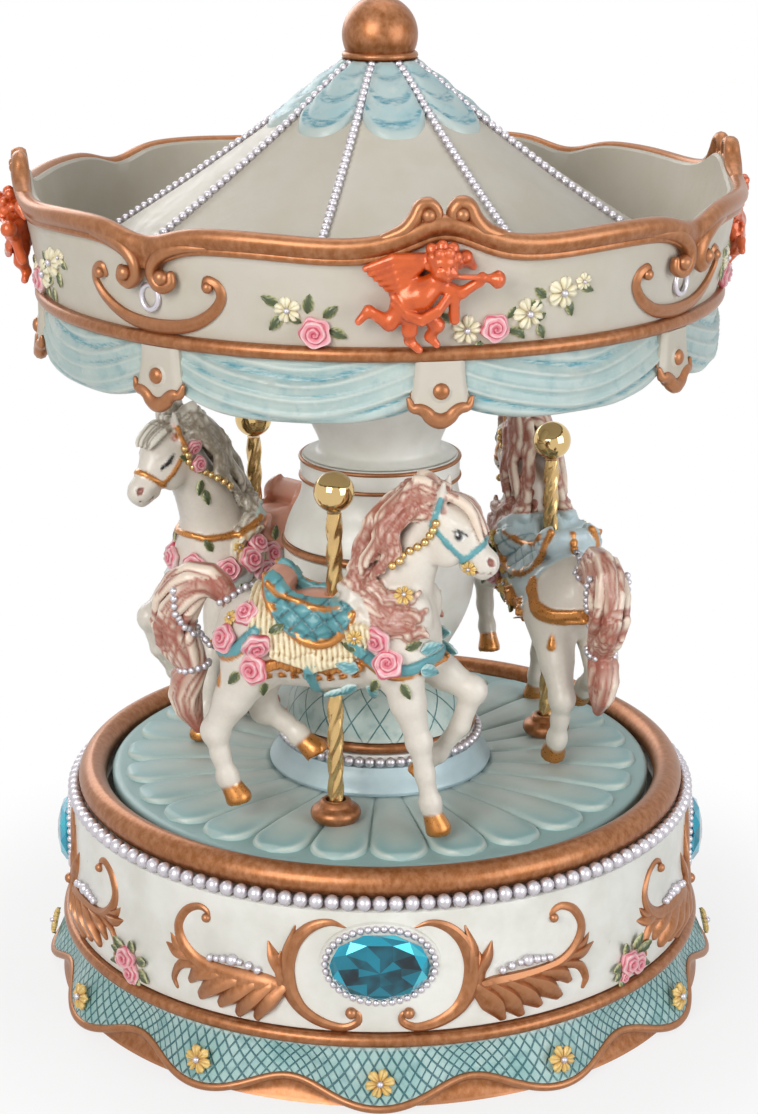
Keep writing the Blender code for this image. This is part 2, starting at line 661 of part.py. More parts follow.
def make_valance(teal):
    """Ring of draped swags that meet at the tabs."""
    top = BAND_Z - BAND_TUBE - GAP
    inner = CEILING_R + GAP

    def section(azimuth):
        wave = math.cos(math.radians(SWAGS * (azimuth - SWAG_PHASE)))
        hem = top - SWAG_DROP + 5.2 * MM * bump(azimuth, TABS_8, 6.0)
        out = BAND_R - 0.6 * MM - 0.9 * MM * (wave + 1) / 2
        return [(inner, top), (out - 0.4 * MM, top), (out, (top + hem) / 2), (out - 0.8 * MM, hem), (inner, hem)]

    swept_ring("canopy_valance", section, 8 * SWAGS, teal)


def make_band(gold):
    turned("canopy_band", tube_outline(BAND_R, BAND_TUBE, BAND_Z, 6), gold, 36)


def make_crown(ivory, gold):
    low = BAND_Z + BAND_TUBE + GAP

    def wall(azimuth):
        edge = crown_edge(azimuth) - RAIL_H - GAP
        mid = (low + edge) / 2
        return [(crown_radius(low), low), (crown_radius(mid), mid), (CROWN_R, edge),
                (CROWN_R - CROWN_T, edge), (crown_radius(mid) - CROWN_T, mid), (crown_radius(low) - CROWN_T, low)]

    def rail(azimuth):
        edge = crown_edge(azimuth)
        low_z = edge - RAIL_H
        return [(CROWN_R - CROWN_T + 0.2 * MM, low_z), (CROWN_R + 0.4 * MM, low_z), (CROWN_R + 1.4 * MM, edge - 2 * MM),
                (CROWN_R + 0.2 * MM, edge), (CROWN_R - CROWN_T + 0.6 * MM, edge - 0.6 * MM)]

    swept_ring("canopy_crown", wall, CROWN_STEPS, ivory)
    swept_ring("crown_rail", rail, CROWN_STEPS, gold)


def roof_height(radius):
    return ROOF_TOP_Z - (radius - ROOF_TOP_R) * ROOF_SLOPE


def make_roof(ivory):
    outer, eave = EAVE_R, EAVE_Z
    bore_r = SPINDLE_R + GAP
    drop = ROOF_T * math.sqrt(1 + ROOF_SLOPE ** 2)
    stub = CEILING_R
    stub_z = CEILING_Z + CEILING_T + GAP
    outline = [(bore_r, ROOF_TOP_Z), (ROOF_TOP_R, ROOF_TOP_Z), (outer, roof_height(outer)), (outer, eave), (stub, eave),
               (stub, stub_z), (stub - 2.6 * MM, stub_z), (stub - 2.6 * MM, eave - 3 * MM), (bore_r, ROOF_TOP_Z - drop)]
    turned("canopy_roof", outline, ivory)


def make_finial(gold):
    low = ROOF_TOP_Z + GAP
    turned("finial_neck", [(SPINDLE_R + GAP, low), (ROOF_TOP_R - 0.4 * MM, low), (ROOF_TOP_R + 0.4 * MM, low + NECK_PLATE_H / 2),
                           (ROOF_TOP_R - 0.8 * MM, low + NECK_PLATE_H), (SPINDLE_R + GAP, low + NECK_PLATE_H)], gold, 16)
    seat = low + NECK_PLATE_H + GAP
    centre = seat + 6.2 * MM
    points = [(SPINDLE_R + GAP, seat)]
    start = math.asin((seat - centre) / FINIAL_R)
    for i in range(8):
        a = start + (math.pi / 2 - start) * i / 7
        points.append((max(0.0, FINIAL_R * math.cos(a)), centre + FINIAL_R * math.sin(a)))
    points[-1] = (0.0, centre + FINIAL_R)
    bored = [(0.0, seat + 5.6 * MM), (SPINDLE_R + GAP, seat + 5.6 * MM)] + points
    turned("finial_ball", bored, gold, 16)


def crown_clearance():
    """A cutter that fills the crown out to its wall plus the gap."""
    points = [(0, BAND_Z - 12 * MM), (BAND_R + BAND_TUBE, BAND_Z - 12 * MM), (BAND_R + BAND_TUBE + GAP, BAND_Z + BAND_TUBE)]
    for i in range(5):
        z = BAND_Z + BAND_TUBE + GAP + (CROWN_EDGE_Z - RAIL_H - BAND_Z - BAND_TUBE) * i / 4
        points.append((crown_radius(z) + 2 * GAP, z))
    points += [(CROWN_R + 2 * GAP + 1.6 * MM, CROWN_EDGE_Z - RAIL_H + 2 * GAP), (CROWN_R + 2 * MM, ROOF_TOP_Z), (0, ROOF_TOP_Z)]
    bm = bmesh.new()
    spin_outline(bm, points, 72)
    return guide(add_object("crown_clearance", bm, bpy.data.materials["cutter"]))


def make_cherubs(copper, cutter):
    """A small winged figure flying under each peak."""
    def at(x, rise, out):
        z = BAND_Z + rise * MM
        return wrapped(x * MM, out * MM, z, crown_radius(z))

    chest, hips, head = at(-1, 14.1, 2.6), at(-3, 7.1, 2.4), at(3, 19.5, 3)
    for number, azimuth in enumerate(PEAKS_4, 1):
        bm = bmesh.new()
        limb(bm, chest, 3.0 * MM, hips, 2.8 * MM)
        limb(bm, head, 3.0 * MM, chest, 1.8 * MM)
        limb(bm, hips, 2.4 * MM, at(-1, 1.9, 2.6), 1.3 * MM)
        limb(bm, chest, 1.6 * MM, at(11, 18.1, 2.4), 1.2 * MM)
        limb(bm, chest, 1.8 * MM, at(-12, 19.1, 1.6), 2.4 * MM)
        figure = modelled("crown_cherub_" + str(number), bm, copper, 0.9 * MM, CHERUB_KEEP, turn=azimuth)
        cut(figure, cutter)


# =============================================================================================
# horses
# =============================================================================================
# Local frame of a horse: x forwards, y to its left (towards the column), z above the
# turntable at the bottom of the travel, all in millimetres; the pole stands at x = y = 0.
def torso():
    return [((-18, 0, 47.0), 11.4, (0, 0, 48.0), 10.2), ((0, 0, 48.0), 10.2, (15, 0, 50.0), 11.4),
            ((15, 0, 50.0), 11.4, (17, 0, 55.5), 10.6)]


def neck_and_head(lean, tuck):
    """lean moves the head forwards, tuck draws the muzzle in."""
    poll = (24.5 + lean, 0, 82.5)
    return [((17, 0, 56), 10.0, (21 + lean / 2, 0, 69), 7.4), ((21 + lean / 2, 0, 69), 7.4, poll, 5.8),
            (poll, 5.8, (29.5 + lean, 0, 76.5), 5.4), ((29.5 + lean, 0, 76.5), 5.4, (37 + lean - tuck, 0, 69.5 - tuck / 3), 3.5),
            (poll, 2.4, (26.5 + lean, -3.4, 90.6), 1.0), (poll, 2.4, (26.5 + lean, 3.4, 90.6), 1.0)]


def mane(lean):
    points = [(22 + lean, 1, 88.4, 3.4), (14.5 + lean, 1, 82, 4.0), (11, 1, 73, 4.2), (9, 1, 65, 4.4)]
    return [(a[:3], a[3], b[:3], b[3]) for a, b in zip(points, points[1:])]


def leg(side, points):
    """A leg through (x, z, radius) points, side is -1 outside and 1 towards the column."""
    spots = [((x, side * 6.8, z), r) for x, z, r in points]
    return [(a[0], a[1], b[0], b[1]) for a, b in zip(spots, spots[1:])]


FORE_DOWN = ((17.5, 46, 6.0), (20, 37, 4.4), (23.2, 26, 3.0), (25.8, 10.5, 2.4), (26.8, 5.4, 3.0))
FORE_BENT = ((18, 46, 5.6), (33, 36.5, 3.3), (29.5, 25, 2.6), (22.0, 14.5, 2.3), (17.5, 12.5, 2.9))
HIND_BACK = ((-19, 44, 8.0), (-25, 33, 4.6), (-29.6, 24, 3.2), (-26.4, 12.0, 2.4), (-25.2, 7.6, 3.0))
HIND_UNDER = ((-18, 43, 7.6), (-23, 29, 4.0), (-15.5, 23.0, 2.8), (-9.8, 19.0, 2.3), (-7.2, 15.8, 2.9))
TAIL = ((-26, 0, 57, 3.6), (-34, -1, 60, 4.2), (-39.5, -1, 52, 4.6), (-39, -1, 43, 5.0), (-33, -1, 38, 3.2),
        (-38.5, -1, 30, 3.6), (-35, -1, 23, 1.8))
POSES = {
    "front": (0.0, 0.0, (FORE_DOWN, FORE_BENT, HIND_BACK, HIND_UNDER)),
    "right": (-1.0, 1.0, (FORE_DOWN, FORE_BENT, HIND_BACK, HIND_UNDER)),
    "left": (3.0, 3.0, (FORE_DOWN, FORE_BENT, HIND_BACK, HIND_UNDER)),
}


def tail():
    return [(a[:3], a[3], b[:3], b[3]) for a, b in zip(TAIL, TAIL[1:])]


def make_horse(name, azimuth, lift, coat):
    lean, tuck, (fore_out, fore_in, hind_out, hind_in) = POSES[name]
    limbs = torso() + neck_and_head(lean, tuck) + mane(lean) + tail()
    limbs += leg(-1, fore_out) + leg(1, fore_in) + leg(-1, hind_out) + leg(1, hind_in)
    limbs += [((-13, 0, 59.5), 3.4, (-14.5, 0, 63.4), 2.4)]
    bm = bmesh.new()
    for start, start_r, end, end_r in limbs:
        limb(bm, Vector(start) * MM, start_r * MM, Vector(end) * MM, end_r * MM)
    base = polar(POLE_CIRCLE, azimuth, TABLE_Z + lift)
    horse = modelled("horse_" + name, bm, coat, 1.3 * MM, HORSE_KEEP, base, azimuth)
    place = polar(POLE_CIRCLE, azimuth)
    cut(horse, bore("saddle_bore_" + name, POLE_R + GAP, TABLE_Z, BALL_Z, [place], 8))


def make_pole(name, azimuth, lift, brass):
    """Twisted pole from the track to its ball."""
    place = polar(POLE_CIRCLE, azimuth)
    low = DECK_Z + 2 * GAP + CAM_H
    bm = bmesh.new()
    rod(bm, (0, 0, low), (0, 0, BALL_Z + lift - BALL_R - GAP), POLE_R, sides=8)
    add_object("pole_" + name, bm, brass, True, (place.x, place.y, 0))
    bm = bmesh.new()
    bmesh.ops.create_uvsphere(bm, u_segments=10, v_segments=7, radius=BALL_R)
    add_object("ball_" + name, bm, brass, True, (place.x, place.y, BALL_Z + lift))


# =============================================================================================
# build
# =============================================================================================
def build():
    clear_scene()
    finish("cutter", (1, 0, 1), 1.0)
    white = finish("white_resin", (0.84, 0.85, 0.80), 0.35)
    ivory = finish("ivory_resin", (0.82, 0.82, 0.74), 0.40)
    pale = finish("pale_teal_resin", (0.45, 0.61, 0.60), 0.40)
    teal = finish("teal_resin", (0.26, 0.51, 0.52), 0.40)
    gold = finish("copper_gold_paint", (0.43, 0.17, 0.05), 0.32, 0.8)
    brass = finish("polished_brass", (0.62, 0.42, 0.16), 0.12, 1.0)
    silver = finish("silver_pearl", (0.55, 0.52, 0.55), 0.20, 0.9)
    glass = finish("teal_glass", (0.0, 0.28, 0.42), 0.05)
    copper = finish("copper_glaze", (0.60, 0.14, 0.03), 0.15, 0.3)
    steel = finish("steel", (0.45, 0.46, 0.48), 0.30, 1.0)
    felt = finish("green_felt", (0.05, 0.14, 0.10), 0.95)
    board = finish("board", (0.30, 0.20, 0.12), 0.80)

    make_drum(white)
    make_felt(felt)
    make_moulding(gold)
    make_skirt(teal)
    make_rim(gold, silver)
    make_gems(glass)
    make_bottom_plate(board, steel)
    make_bedplate(steel)
    make_barrel(brass)
    make_cylinder(brass)
    make_comb(steel)
    make_governor(steel, brass)
    make_key(steel, brass)
    make_track(white, brass)
    make_turntable(pale)
    make_collars(gold)
    make_spindle(steel)
    make_column(pale, white, gold, silver)
    make_ceiling(white)
    make_valance(teal)
    make_band(gold)
    make_crown(ivory, gold)
    make_roof(ivory)
    make_finial(gold)
    clearance = crown_clearance()
    make_cherubs(copper, clearance)
    for name, azimuth, lift in HORSES:
        make_horse(name, azimuth, lift, white)
        make_pole(name, azimuth, lift, brass)


build()
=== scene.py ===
"""Wind up music box: a three-horse carousel that turns on a jewelled drum.

+Z is up and -Y is the front. Shapes are worked out in millimetres and become metres when their
mesh is made. An azimuth is counted in degrees from the front towards +X.
"""

import bmesh
import bpy
import numpy as np
from mathutils import Euler, Matrix, Vector
from numpy import (array, clip, concatenate, cos, degrees, exp, hypot, linspace, maximum, minimum,
    pi, radians, sin, sqrt, stack, zeros)


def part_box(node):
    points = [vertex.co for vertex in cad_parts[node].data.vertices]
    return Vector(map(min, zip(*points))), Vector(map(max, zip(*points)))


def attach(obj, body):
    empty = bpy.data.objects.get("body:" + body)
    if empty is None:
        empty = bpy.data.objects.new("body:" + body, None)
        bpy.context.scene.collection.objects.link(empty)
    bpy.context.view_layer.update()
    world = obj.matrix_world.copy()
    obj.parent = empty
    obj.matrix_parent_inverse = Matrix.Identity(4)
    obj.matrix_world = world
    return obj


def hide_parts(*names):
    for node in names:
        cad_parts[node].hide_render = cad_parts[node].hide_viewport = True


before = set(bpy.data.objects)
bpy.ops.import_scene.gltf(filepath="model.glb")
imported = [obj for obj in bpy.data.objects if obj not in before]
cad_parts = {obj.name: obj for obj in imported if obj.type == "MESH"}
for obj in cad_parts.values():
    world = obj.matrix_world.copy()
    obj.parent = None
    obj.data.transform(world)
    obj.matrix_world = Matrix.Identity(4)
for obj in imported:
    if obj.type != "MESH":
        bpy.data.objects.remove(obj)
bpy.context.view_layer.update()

bl_info = {"name": "Carousel Music Box", "version": (1, 0, 0), "blender": (4, 5, 0),
    "location": "View3D > Sidebar > Music Box",
    "description": "Builds a painted resin carousel music box around its packed frame",
    "category": "Object"}

MM = 0.001


def box(name):
    """Low and high corners of a node of the frame, in millimetres."""
    low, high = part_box(name)
    return low / MM, high / MM


TABLE_TOP = box("pole_collar_front")[0].z - 1.3             # top of the turntable's disc
RIM_Z = sum(corner.z for corner in box("rim_ring")) / 2
BAND_Z = sum(corner.z for corner in box("canopy_band")) / 2
TAB_PHASE = 9.0                                             # azimuth of the peak at the front
PEAKS = tuple(TAB_PHASE + 90.0 * k for k in range(4))
TROUGHS = tuple(TAB_PHASE + 45.0 + 90.0 * k for k in range(4))
TABS = tuple(TAB_PHASE + 45.0 * k for k in range(8))
SIDES = (("front", 0), ("right", 90), ("back", 180), ("left", 270))
HORSES = (("front", -13.5), ("right", 106.5), ("left", 226.5))


# ---- sizes and colours ----
def length(label, value, note):
    """A size for the panel, given in millimetres."""
    return bpy.props.FloatProperty(name=label,
        description=note, default=value * MM, min=0.0, subtype="DISTANCE", unit="LENGTH", precision=4)


def paint(label, value, note):
    """A colour for the panel, given as screen values."""
    return bpy.props.FloatVectorProperty(name=label,
        description=note, size=3, min=0.0, max=1.0, default=tuple(linear(c) for c in value), subtype="COLOR")


def linear(value):
    """A screen value from 0 to 255 as light."""
    v = value / 255.0
    return v / 12.92 if v <= 0.04045 else ((v + 0.055) / 1.055) ** 2.4


def rgb(*value):
    """A colour as light from three screen values."""
    return tuple(linear(c) for c in value)


class MusicBoxSizes(bpy.types.PropertyGroup):
    """Sizes of the ornaments, which may be changed without touching the frame"""
    rim_pearl: length("Rim pearl", 1.92, "Radius of a pearl under the rim")
    gem_pearl: length("Gem pearl", 0.95, "Radius of a pearl round a gem")
    roof_pearl: length("Roof pearl", 1.12, "Radius of a pearl on the roof")
    pole_twist: bpy.props.FloatProperty(name="Pole twist",
        description="Turns of the flutes over a pole's length", default=3.4, min=0.0, max=20.0)
    petals: bpy.props.IntProperty(name="Petals",
        description="Raised petals of the turntable", default=26, min=6, max=60)
    petal_height: length("Petal height", 1.6, "How far a petal stands out of the turntable")
    fold_depth: length("Fold depth", 0.6, "Depth of a fold of the swags")


class MusicBoxColours(bpy.types.PropertyGroup):
    """Colours of the paints and platings"""
    white: paint("White", (240, 240, 234), "White glaze of the drum and the column")
    ivory: paint("Ivory", (204, 198, 186), "Ivory glaze of the canopy")
    gold: paint("Copper gold", (142, 84, 38), "Metallic paint of the mouldings")
    platform: paint("Platform", (182, 198, 194), "Pale teal of the turntable")
    skirt: paint("Skirt", (146, 190, 188), "Teal wash of the skirt and the bulb")
    deep_teal: paint("Deep teal", (52, 112, 120), "Teal that stays in lines and folds")
    swag: paint("Swag", (166, 190, 188), "Pale teal of the swags")
    silver: paint("Silver", (206, 202, 208), "Plating of the pearls")
    gem: paint("Gem", (0, 150, 178), "Glass of the gems")
    glaze: paint("Cherub glaze", (212, 92, 30), "Copper glaze of the winged figures")
    brass: paint("Brass", (214, 180, 122), "Poles and pole balls")


def size(name):
    """A size from the panel, in millimetres."""
    return getattr(bpy.context.scene.music_box_sizes, name) / MM


def colours():
    return bpy.context.scene.music_box_colours


# ---- modelling tools ----
def polar(radius, azimuth, z=0):
    """The point at an azimuth."""
    a = radians(azimuth)
    return Vector((radius * sin(a), -radius * cos(a), z))


def around(count):
    """Angles in radians that go once round."""
    return linspace(0, 2 * pi, count, endpoint=False)


def xyz(x, y, z):
    """Points from arrays of their coordinates."""
    return stack(np.broadcast_arrays(x, y, z), -1)


def on_ring(radius, azimuth, z):
    """polar for arrays of numbers."""
    a = radians(azimuth)
    return xyz(radius * sin(a), -radius * cos(a), z)


def span(rows, cols, low=0, high=1):
    """A column of shares from 0 to 1 and a row of numbers from low to high, for a grid."""
    return linspace(0, 1, rows)[:, None], linspace(low, high, cols)[None, :]


def net(rows, cols, wrap_rows=False, wrap_cols=False):
    """Faces of a grid of points, with the corner numbers for its flat map."""
    r = np.arange(rows if wrap_rows else rows - 1)
    c = np.arange(cols if wrap_cols else cols - 1)
    r, c = (x.ravel() for x in np.meshgrid(r, c, indexing="ij"))
    r2, c2 = (r + 1) % rows, (c + 1) % cols
    faces = stack([r * cols + c, r * cols + c2, r2 * cols + c2, r2 * cols + c], -1)
    corners = stack([stack([c, r], -1),
        stack([c + 1, r], -1), stack([c + 1, r + 1], -1), stack([c, r + 1], -1)], 1)
    scale = array([cols if wrap_cols else cols - 1, rows if wrap_rows else rows - 1], float)
    return faces, corners / scale


class Shape:
    """Closed skins that become one mesh, with a paint colour, a shine and a flat map."""

    def __init__(self):
        self.points, self.faces, self.maps, self.paints, self.shines = [], [], [], [], []
        self.count = 0

    def add(self, points, faces, colour=(1, 1, 1), shine=0, corners=None, matrix=None):
        points = apply(matrix, np.asarray(points, float).reshape(-1, 3))
        n = len(points)
        self.points.append(points)
        self.faces += [[int(i) + self.count for i in f] for f in faces]
        self.maps += [[(0, 0)] * len(f)
            for f in faces] if corners is None else [list(map(tuple, c)) for c in corners]
        self.paints.append(np.broadcast_to(np.asarray(colour, float), (n, 3)))
        self.shines.append(np.broadcast_to(np.asarray(shine, float), (n,)))
        self.count += n
        return self

    def mesh(self, name, weld=True):
        mesh = bpy.data.meshes.new(name)
        mesh.from_pydata((concatenate(self.points) * MM).tolist(), [], self.faces)
        flat = array([p for m in self.maps for p in m], float)
        mesh.uv_layers.new(name="flat").data.foreach_set("uv", flat.ravel())
        rgba = np.column_stack([concatenate(self.paints), np.ones(self.count)])
        mesh.attributes.new("paint", "FLOAT_COLOR", "POINT").data.foreach_set("color", rgba.ravel())
        mesh.attributes.new("shine", "FLOAT", "POINT").data.foreach_set("value", concatenate(self.shines))
        bm = bmesh.new()
        bm.from_mesh(mesh)
        if weld:
            bmesh.ops.remove_doubles(bm, verts=bm.verts, dist=1e-6)
            bmesh.ops.dissolve_degenerate(bm, edges=bm.edges, dist=1e-7)
        bmesh.ops.recalc_face_normals(bm, faces=bm.faces)
        bm.to_mesh(mesh)
        bm.free()
        mesh.shade_smooth()
        return mesh


def place(name, what, finish, stands_for=(), body="carousel", sharp=40):
    """Puts a shape or a mesh in the scene with its finish and slot, on its body."""
    mesh = what.mesh(name) if isinstance(what, Shape) else what
    if sharp:
        mesh.set_sharp_from_angle(angle=radians(sharp))
    mesh.materials.clear()
    mesh.materials.append(FINISHES[finish])
    obj = bpy.data.objects.new(name, mesh)
    bpy.context.scene.collection.objects.link(obj)
    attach(obj, body)
    if stands_for:
        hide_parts(*((stands_for,) if isinstance(stands_for, str) else stands_for))
    return obj


def apply(matrix, points):
    """Points moved by a 4 by 4 matrix, or left where it is None."""
    if matrix is None:
        return points
    m = array(matrix, float)
    return points @ m[:3, :3].T + m[:3, 3]


def sweep(section, steps, shape=None, colour=(1, 1, 1)):
    """Joins the closed section (radius, height) at each azimuth to the next one."""
    azimuth = linspace(0, 360, steps, endpoint=False)
    rows = array([section(a) for a in azimuth], float)
    points = on_ring(rows[:, :, 0], azimuth[:, None], rows[:, :, 1])
    faces, corners = net(steps, rows.shape[1], True, True)
    return (shape or Shape()).add(points, faces, colour, corners=corners[:, :, ::-1])


def lathe(outline, steps=160, colour=(1, 1, 1)):
    """Turns a closed outline of (radius, height) about the upright axis."""
    return sweep(lambda azimuth: outline, steps, colour=colour)


def arc(centre_r, centre_z, radius, start, end, count):
    """Points (radius, height) along an arc, angles in degrees from outwards to up."""
    a = radians(linspace(start, end, count))
    return [(centre_r + radius * cos(t), centre_z + radius * sin(t)) for t in a]


def smooth_line(points, count):
    """A smooth line through the points."""
    p = np.asarray(points, float)
    p = np.vstack([2 * p[0] - p[1], p, 2 * p[-1] - p[-2]])
    n = len(p) - 3
    out = []
    for t in linspace(0, n, count):
        i = min(int(t), n - 1)
        u = t - i
        a, b, c, d = p[i:i + 4]
        out.append(0.5 * ((2 * b)
            + (c - a) * u + (2 * a - 5 * b + 4 * c - d) * u * u + (3 * b - a - 3 * c + d) * u ** 3))
    return array(out)


def unit(vectors):
    """The same vectors, each of length one."""
    return vectors / (np.linalg.norm(vectors, axis=-1, keepdims=True) + 1e-12)


def cord_skin(shape, path, radius, out, flat=1, sides=10, ring=False, rib=0):
    """A round or flattened bar along a path. out is the way its flat back faces away from."""
    n = len(path)
    radius = np.broadcast_to(np.asarray(radius, float), (n,))
    tangent = unit(np.roll(path, -1, 0) - np.roll(path, 1, 0) if ring else np.gradient(path, axis=0))
    out = unit(out - tangent * np.sum(out * tangent, 1)[:, None])
    if not ring:
        share = array((0, 0.45, 0.8))
        reach, thin = sqrt(1 - share ** 2)[:, None], maximum(share, 0.02)
        path = np.vstack([path[0] - tangent[0] * radius[0] * reach,
            path, path[-1] + tangent[-1] * radius[-1] * reach[::-1]])
        radius = concatenate([radius[0] * thin, radius, radius[-1] * thin[::-1]])
        tangent, out = (np.vstack([v[:1]] * 3 + [v] + [v[-1:]] * 3) for v in (tangent, out))
        n += 6
    a = around(sides)
    swell = 1 + rib * cos(3 * a)
    across = np.cross(tangent, out)[:, None] * (cos(a) * swell)[:, None]
    points = path[:, None] + radius[:, None, None] * (across + out[:, None] * (sin(a) * swell * flat)[:, None])
    faces, corners = net(n, sides, ring, True)
    ends = [] if ring else [list(range(sides))[::-1], list(range((n - 1) * sides, n * sides))]
    return shape.add(points,
        [list(f) for f in faces] + ends, corners=list(corners) + [zeros((sides, 2))] * len(ends))


def wall_point(x, z, out, radius, azimuth=0):
    """Lays a flat relief on a round wall: x runs along it, out stands away from it."""
    a = radians(azimuth) + np.asarray(x, float) / radius
    return xyz((radius + out) * sin(a), -(radius + out) * cos(a), z)


def ball(shape, centre, radius, colour=(1, 1, 1), shine=0, stretch=(1, 1, 1), rows=10, cols=16, matrix=None):
    """A round or stretched ball."""
    t, a = pi * span(rows, 2)[0], around(cols)
    points = xyz(sin(t) * cos(a), sin(t) * sin(a), cos(t)).reshape(-1, 3) * radius * array(stretch)
    return shape.add(apply(matrix, points) + array(centre), net(rows, cols, False, True)[0], colour, shine)


# ---- node trees ----
def feed(tree, value, socket):
    """Links a socket, or a node's first output, to an input, or sets the input's own value."""
    if isinstance(value, bpy.types.Node):
        value = value.outputs[0]
    if isinstance(value, bpy.types.NodeSocket):
        tree.links.new(value, socket)
    elif value is not None:
        socket.default_value = (*value[:3], 1) if socket.type == "RGBA" else value


def put(tree, kind, props=None, **inputs):
    """Adds a node. An input named i0, i1 and so on goes by number, any other by its name."""
    family = "GeometryNode" if tree.type == "GEOMETRY" else "ShaderNode"
    node = tree.nodes.new(kind if "Node" in kind else family + kind)
    for key, value in (props or {}).items():
        setattr(node, key, value)
    for key, value in inputs.items():
        number = key[1:]
        feed(tree, value, node.inputs[int(number) if number.isdigit() else key.replace("_", " ")])
    return node


def new_growth(name, inputs):
    """An empty geometry tree with named inputs. Returns it with what it is given and its output."""
    tree = bpy.data.node_groups.new(name, "GeometryNodeTree")
    tree.interface.new_socket(name="Geometry", in_out="INPUT", socket_type="NodeSocketGeometry")
    for label, kind, default in inputs:
        socket = tree.interface.new_socket(name=label, in_out="INPUT", socket_type="NodeSocket" + kind)
        if default is not None:
            socket.default_value = default
    tree.interface.new_socket(name="Geometry", in_out="OUTPUT", socket_type="NodeSocketGeometry")
    return tree, tree.nodes.new("NodeGroupInput").outputs, tree.nodes.new("NodeGroupOutput")


def end_growth(tree, geometry, given, goes_to):
    """Realises the instances, smooths them and gives them their finish."""
    real = put(tree, "RealizeInstances", Geometry=geometry)
    smooth = put(tree, "SetShadeSmooth", Geometry=real)
    coat = put(tree, "SetMaterial", Geometry=smooth, Material=given["Finish"])
    feed(tree, coat, goes_to.inputs[0])


def bead_tree():
    """Beads set along every line of a mesh."""
    if "bead row" in bpy.data.node_groups:
        return bpy.data.node_groups["bead row"]
    tree, given, out = new_growth("bead row", [("Radius", "Float", 1.0 * MM),
        ("Pitch", "Float", 2.0 * MM), ("Rings", "Int", 7), ("Finish", "Material", None)])
    line = put(tree, "MeshToCurve", i0=given["Geometry"])
    count = put(tree, "ResampleCurve", {"mode": "LENGTH"}, Curve=line, Length=given["Pitch"])
    points = put(tree, "CurveToPoints", {"mode": "EVALUATED"}, Curve=count)
    bead = put(tree, "MeshUVSphere", Segments=10, Rings=given["Rings"], Radius=given["Radius"])
    many = put(tree, "InstanceOnPoints", Points=points, Instance=bead)
    end_growth(tree, many, given, out)
    return tree


def spread_tree():
    """Copies of an ornament, set on points that hold its turn and its size."""
    if "set ornament" in bpy.data.node_groups:
        return bpy.data.node_groups["set ornament"]
    tree, given, out = new_growth("set ornament", [("Ornament", "Object", None), ("Finish", "Material", None)])
    shape = put(tree, "ObjectInfo", Object=given["Ornament"])
    points = put(tree, "MeshToPoints", Mesh=given["Geometry"])
    turn = put(tree, "InputNamedAttribute", {"data_type": "FLOAT_VECTOR"}, Name="turn")
    size = put(tree, "InputNamedAttribute", {"data_type": "FLOAT_VECTOR"}, Name="size")
    as_turn = put(tree, "FunctionNodeEulerToRotation", i0=turn)
    many = put(tree, "InstanceOnPoints",
        Points=points, Instance=shape.outputs["Geometry"], Rotation=as_turn, Scale=size)
    end_growth(tree, many, given, out)
    return tree


def pole_tree():
    """A fluted bar that is twisted along its length."""
    if "twisted pole" in bpy.data.node_groups:
        return bpy.data.node_groups["twisted pole"]
    tree, given, out = new_growth("twisted pole",
        [("Radius", "Float", 2.0 * MM), ("Turns", "Float", 3.0), ("Finish", "Material", None)])
    line = put(tree, "MeshToCurve", i0=given["Geometry"])
    fine = put(tree, "ResampleCurve", {"mode": "COUNT"}, Curve=line, Count=120)
    along = put(tree, "SplineParameter")
    angle = put(tree, "ShaderNodeMath",
        {"operation": "MULTIPLY"}, i0=along.outputs["Factor"], i1=given["Turns"])
    angle = put(tree, "ShaderNodeMath", {"operation": "MULTIPLY"}, i0=angle, i1=2 * pi)
    tilted = put(tree, "SetCurveTilt", Curve=fine, Tilt=angle)
    ring = put(tree, "CurvePrimitiveCircle", Resolution=24, Radius=given["Radius"])
    number = put(tree, "InputIndex")
    wave = put(tree, "ShaderNodeMath", {"operation": "MULTIPLY"}, i0=number, i1=2 * pi / 6)
    wave = put(tree, "ShaderNodeMath", {"operation": "COSINE"}, i0=wave)
    wave = put(tree, "ShaderNodeMath", {"operation": "MULTIPLY_ADD"}, i0=wave, i1=0.11, i2=0.89)
    spot = put(tree, "InputPosition")
    flute = put(tree, "ShaderNodeVectorMath", {"operation": "SCALE"}, i0=spot, Scale=wave)
    ring = put(tree, "SetPosition", Geometry=ring, Position=flute)
    bar = put(tree, "CurveToMesh", Curve=tilted, Profile_Curve=ring, Fill_Caps=True)
    end_growth(tree, bar, given, out)
    return tree


def grown(name, seed, tree, finish, stands_for=(), body="carousel", sharp=None, **values):
    """Grows a tree on a seed mesh and keeps the result as a plain mesh."""
    obj = bpy.data.objects.new(name + "_seed", seed)
    bpy.context.scene.collection.objects.link(obj)
    grow = obj.modifiers.new("grow", "NODES")
    grow.node_group = tree
    values["Finish"] = FINISHES[finish]
    for item in tree.interface.items_tree:
        if item.in_out == "INPUT" and item.name in values:
            value = values[item.name]
            grow[item.identifier] = value * MM if item.name in ("Radius", "Pitch") else value
    graph = bpy.context.evaluated_depsgraph_get()
    graph.update()
    mesh = bpy.data.meshes.new_from_object(obj.evaluated_get(graph))
    if not mesh.polygons:
        raise RuntimeError(name + " grew nothing")
    bpy.data.objects.remove(obj, do_unlink=True)
    return place(name, mesh, finish, stands_for, body, sharp)


def line_seed(lines):
    """A mesh of bare lines. Each line is (points, closed)."""
    mesh = bpy.data.meshes.new("line")
    verts, edges = [], []
    for points, closed in lines:
        first = len(verts)
        verts += [MM * Vector(p) for p in points]
        n = len(points)
        edges += [(first + i, first + i + 1) for i in range(n - 1)]
        if closed:
            edges.append((first + n - 1, first))
    mesh.from_pydata(verts, edges, [])
    return mesh


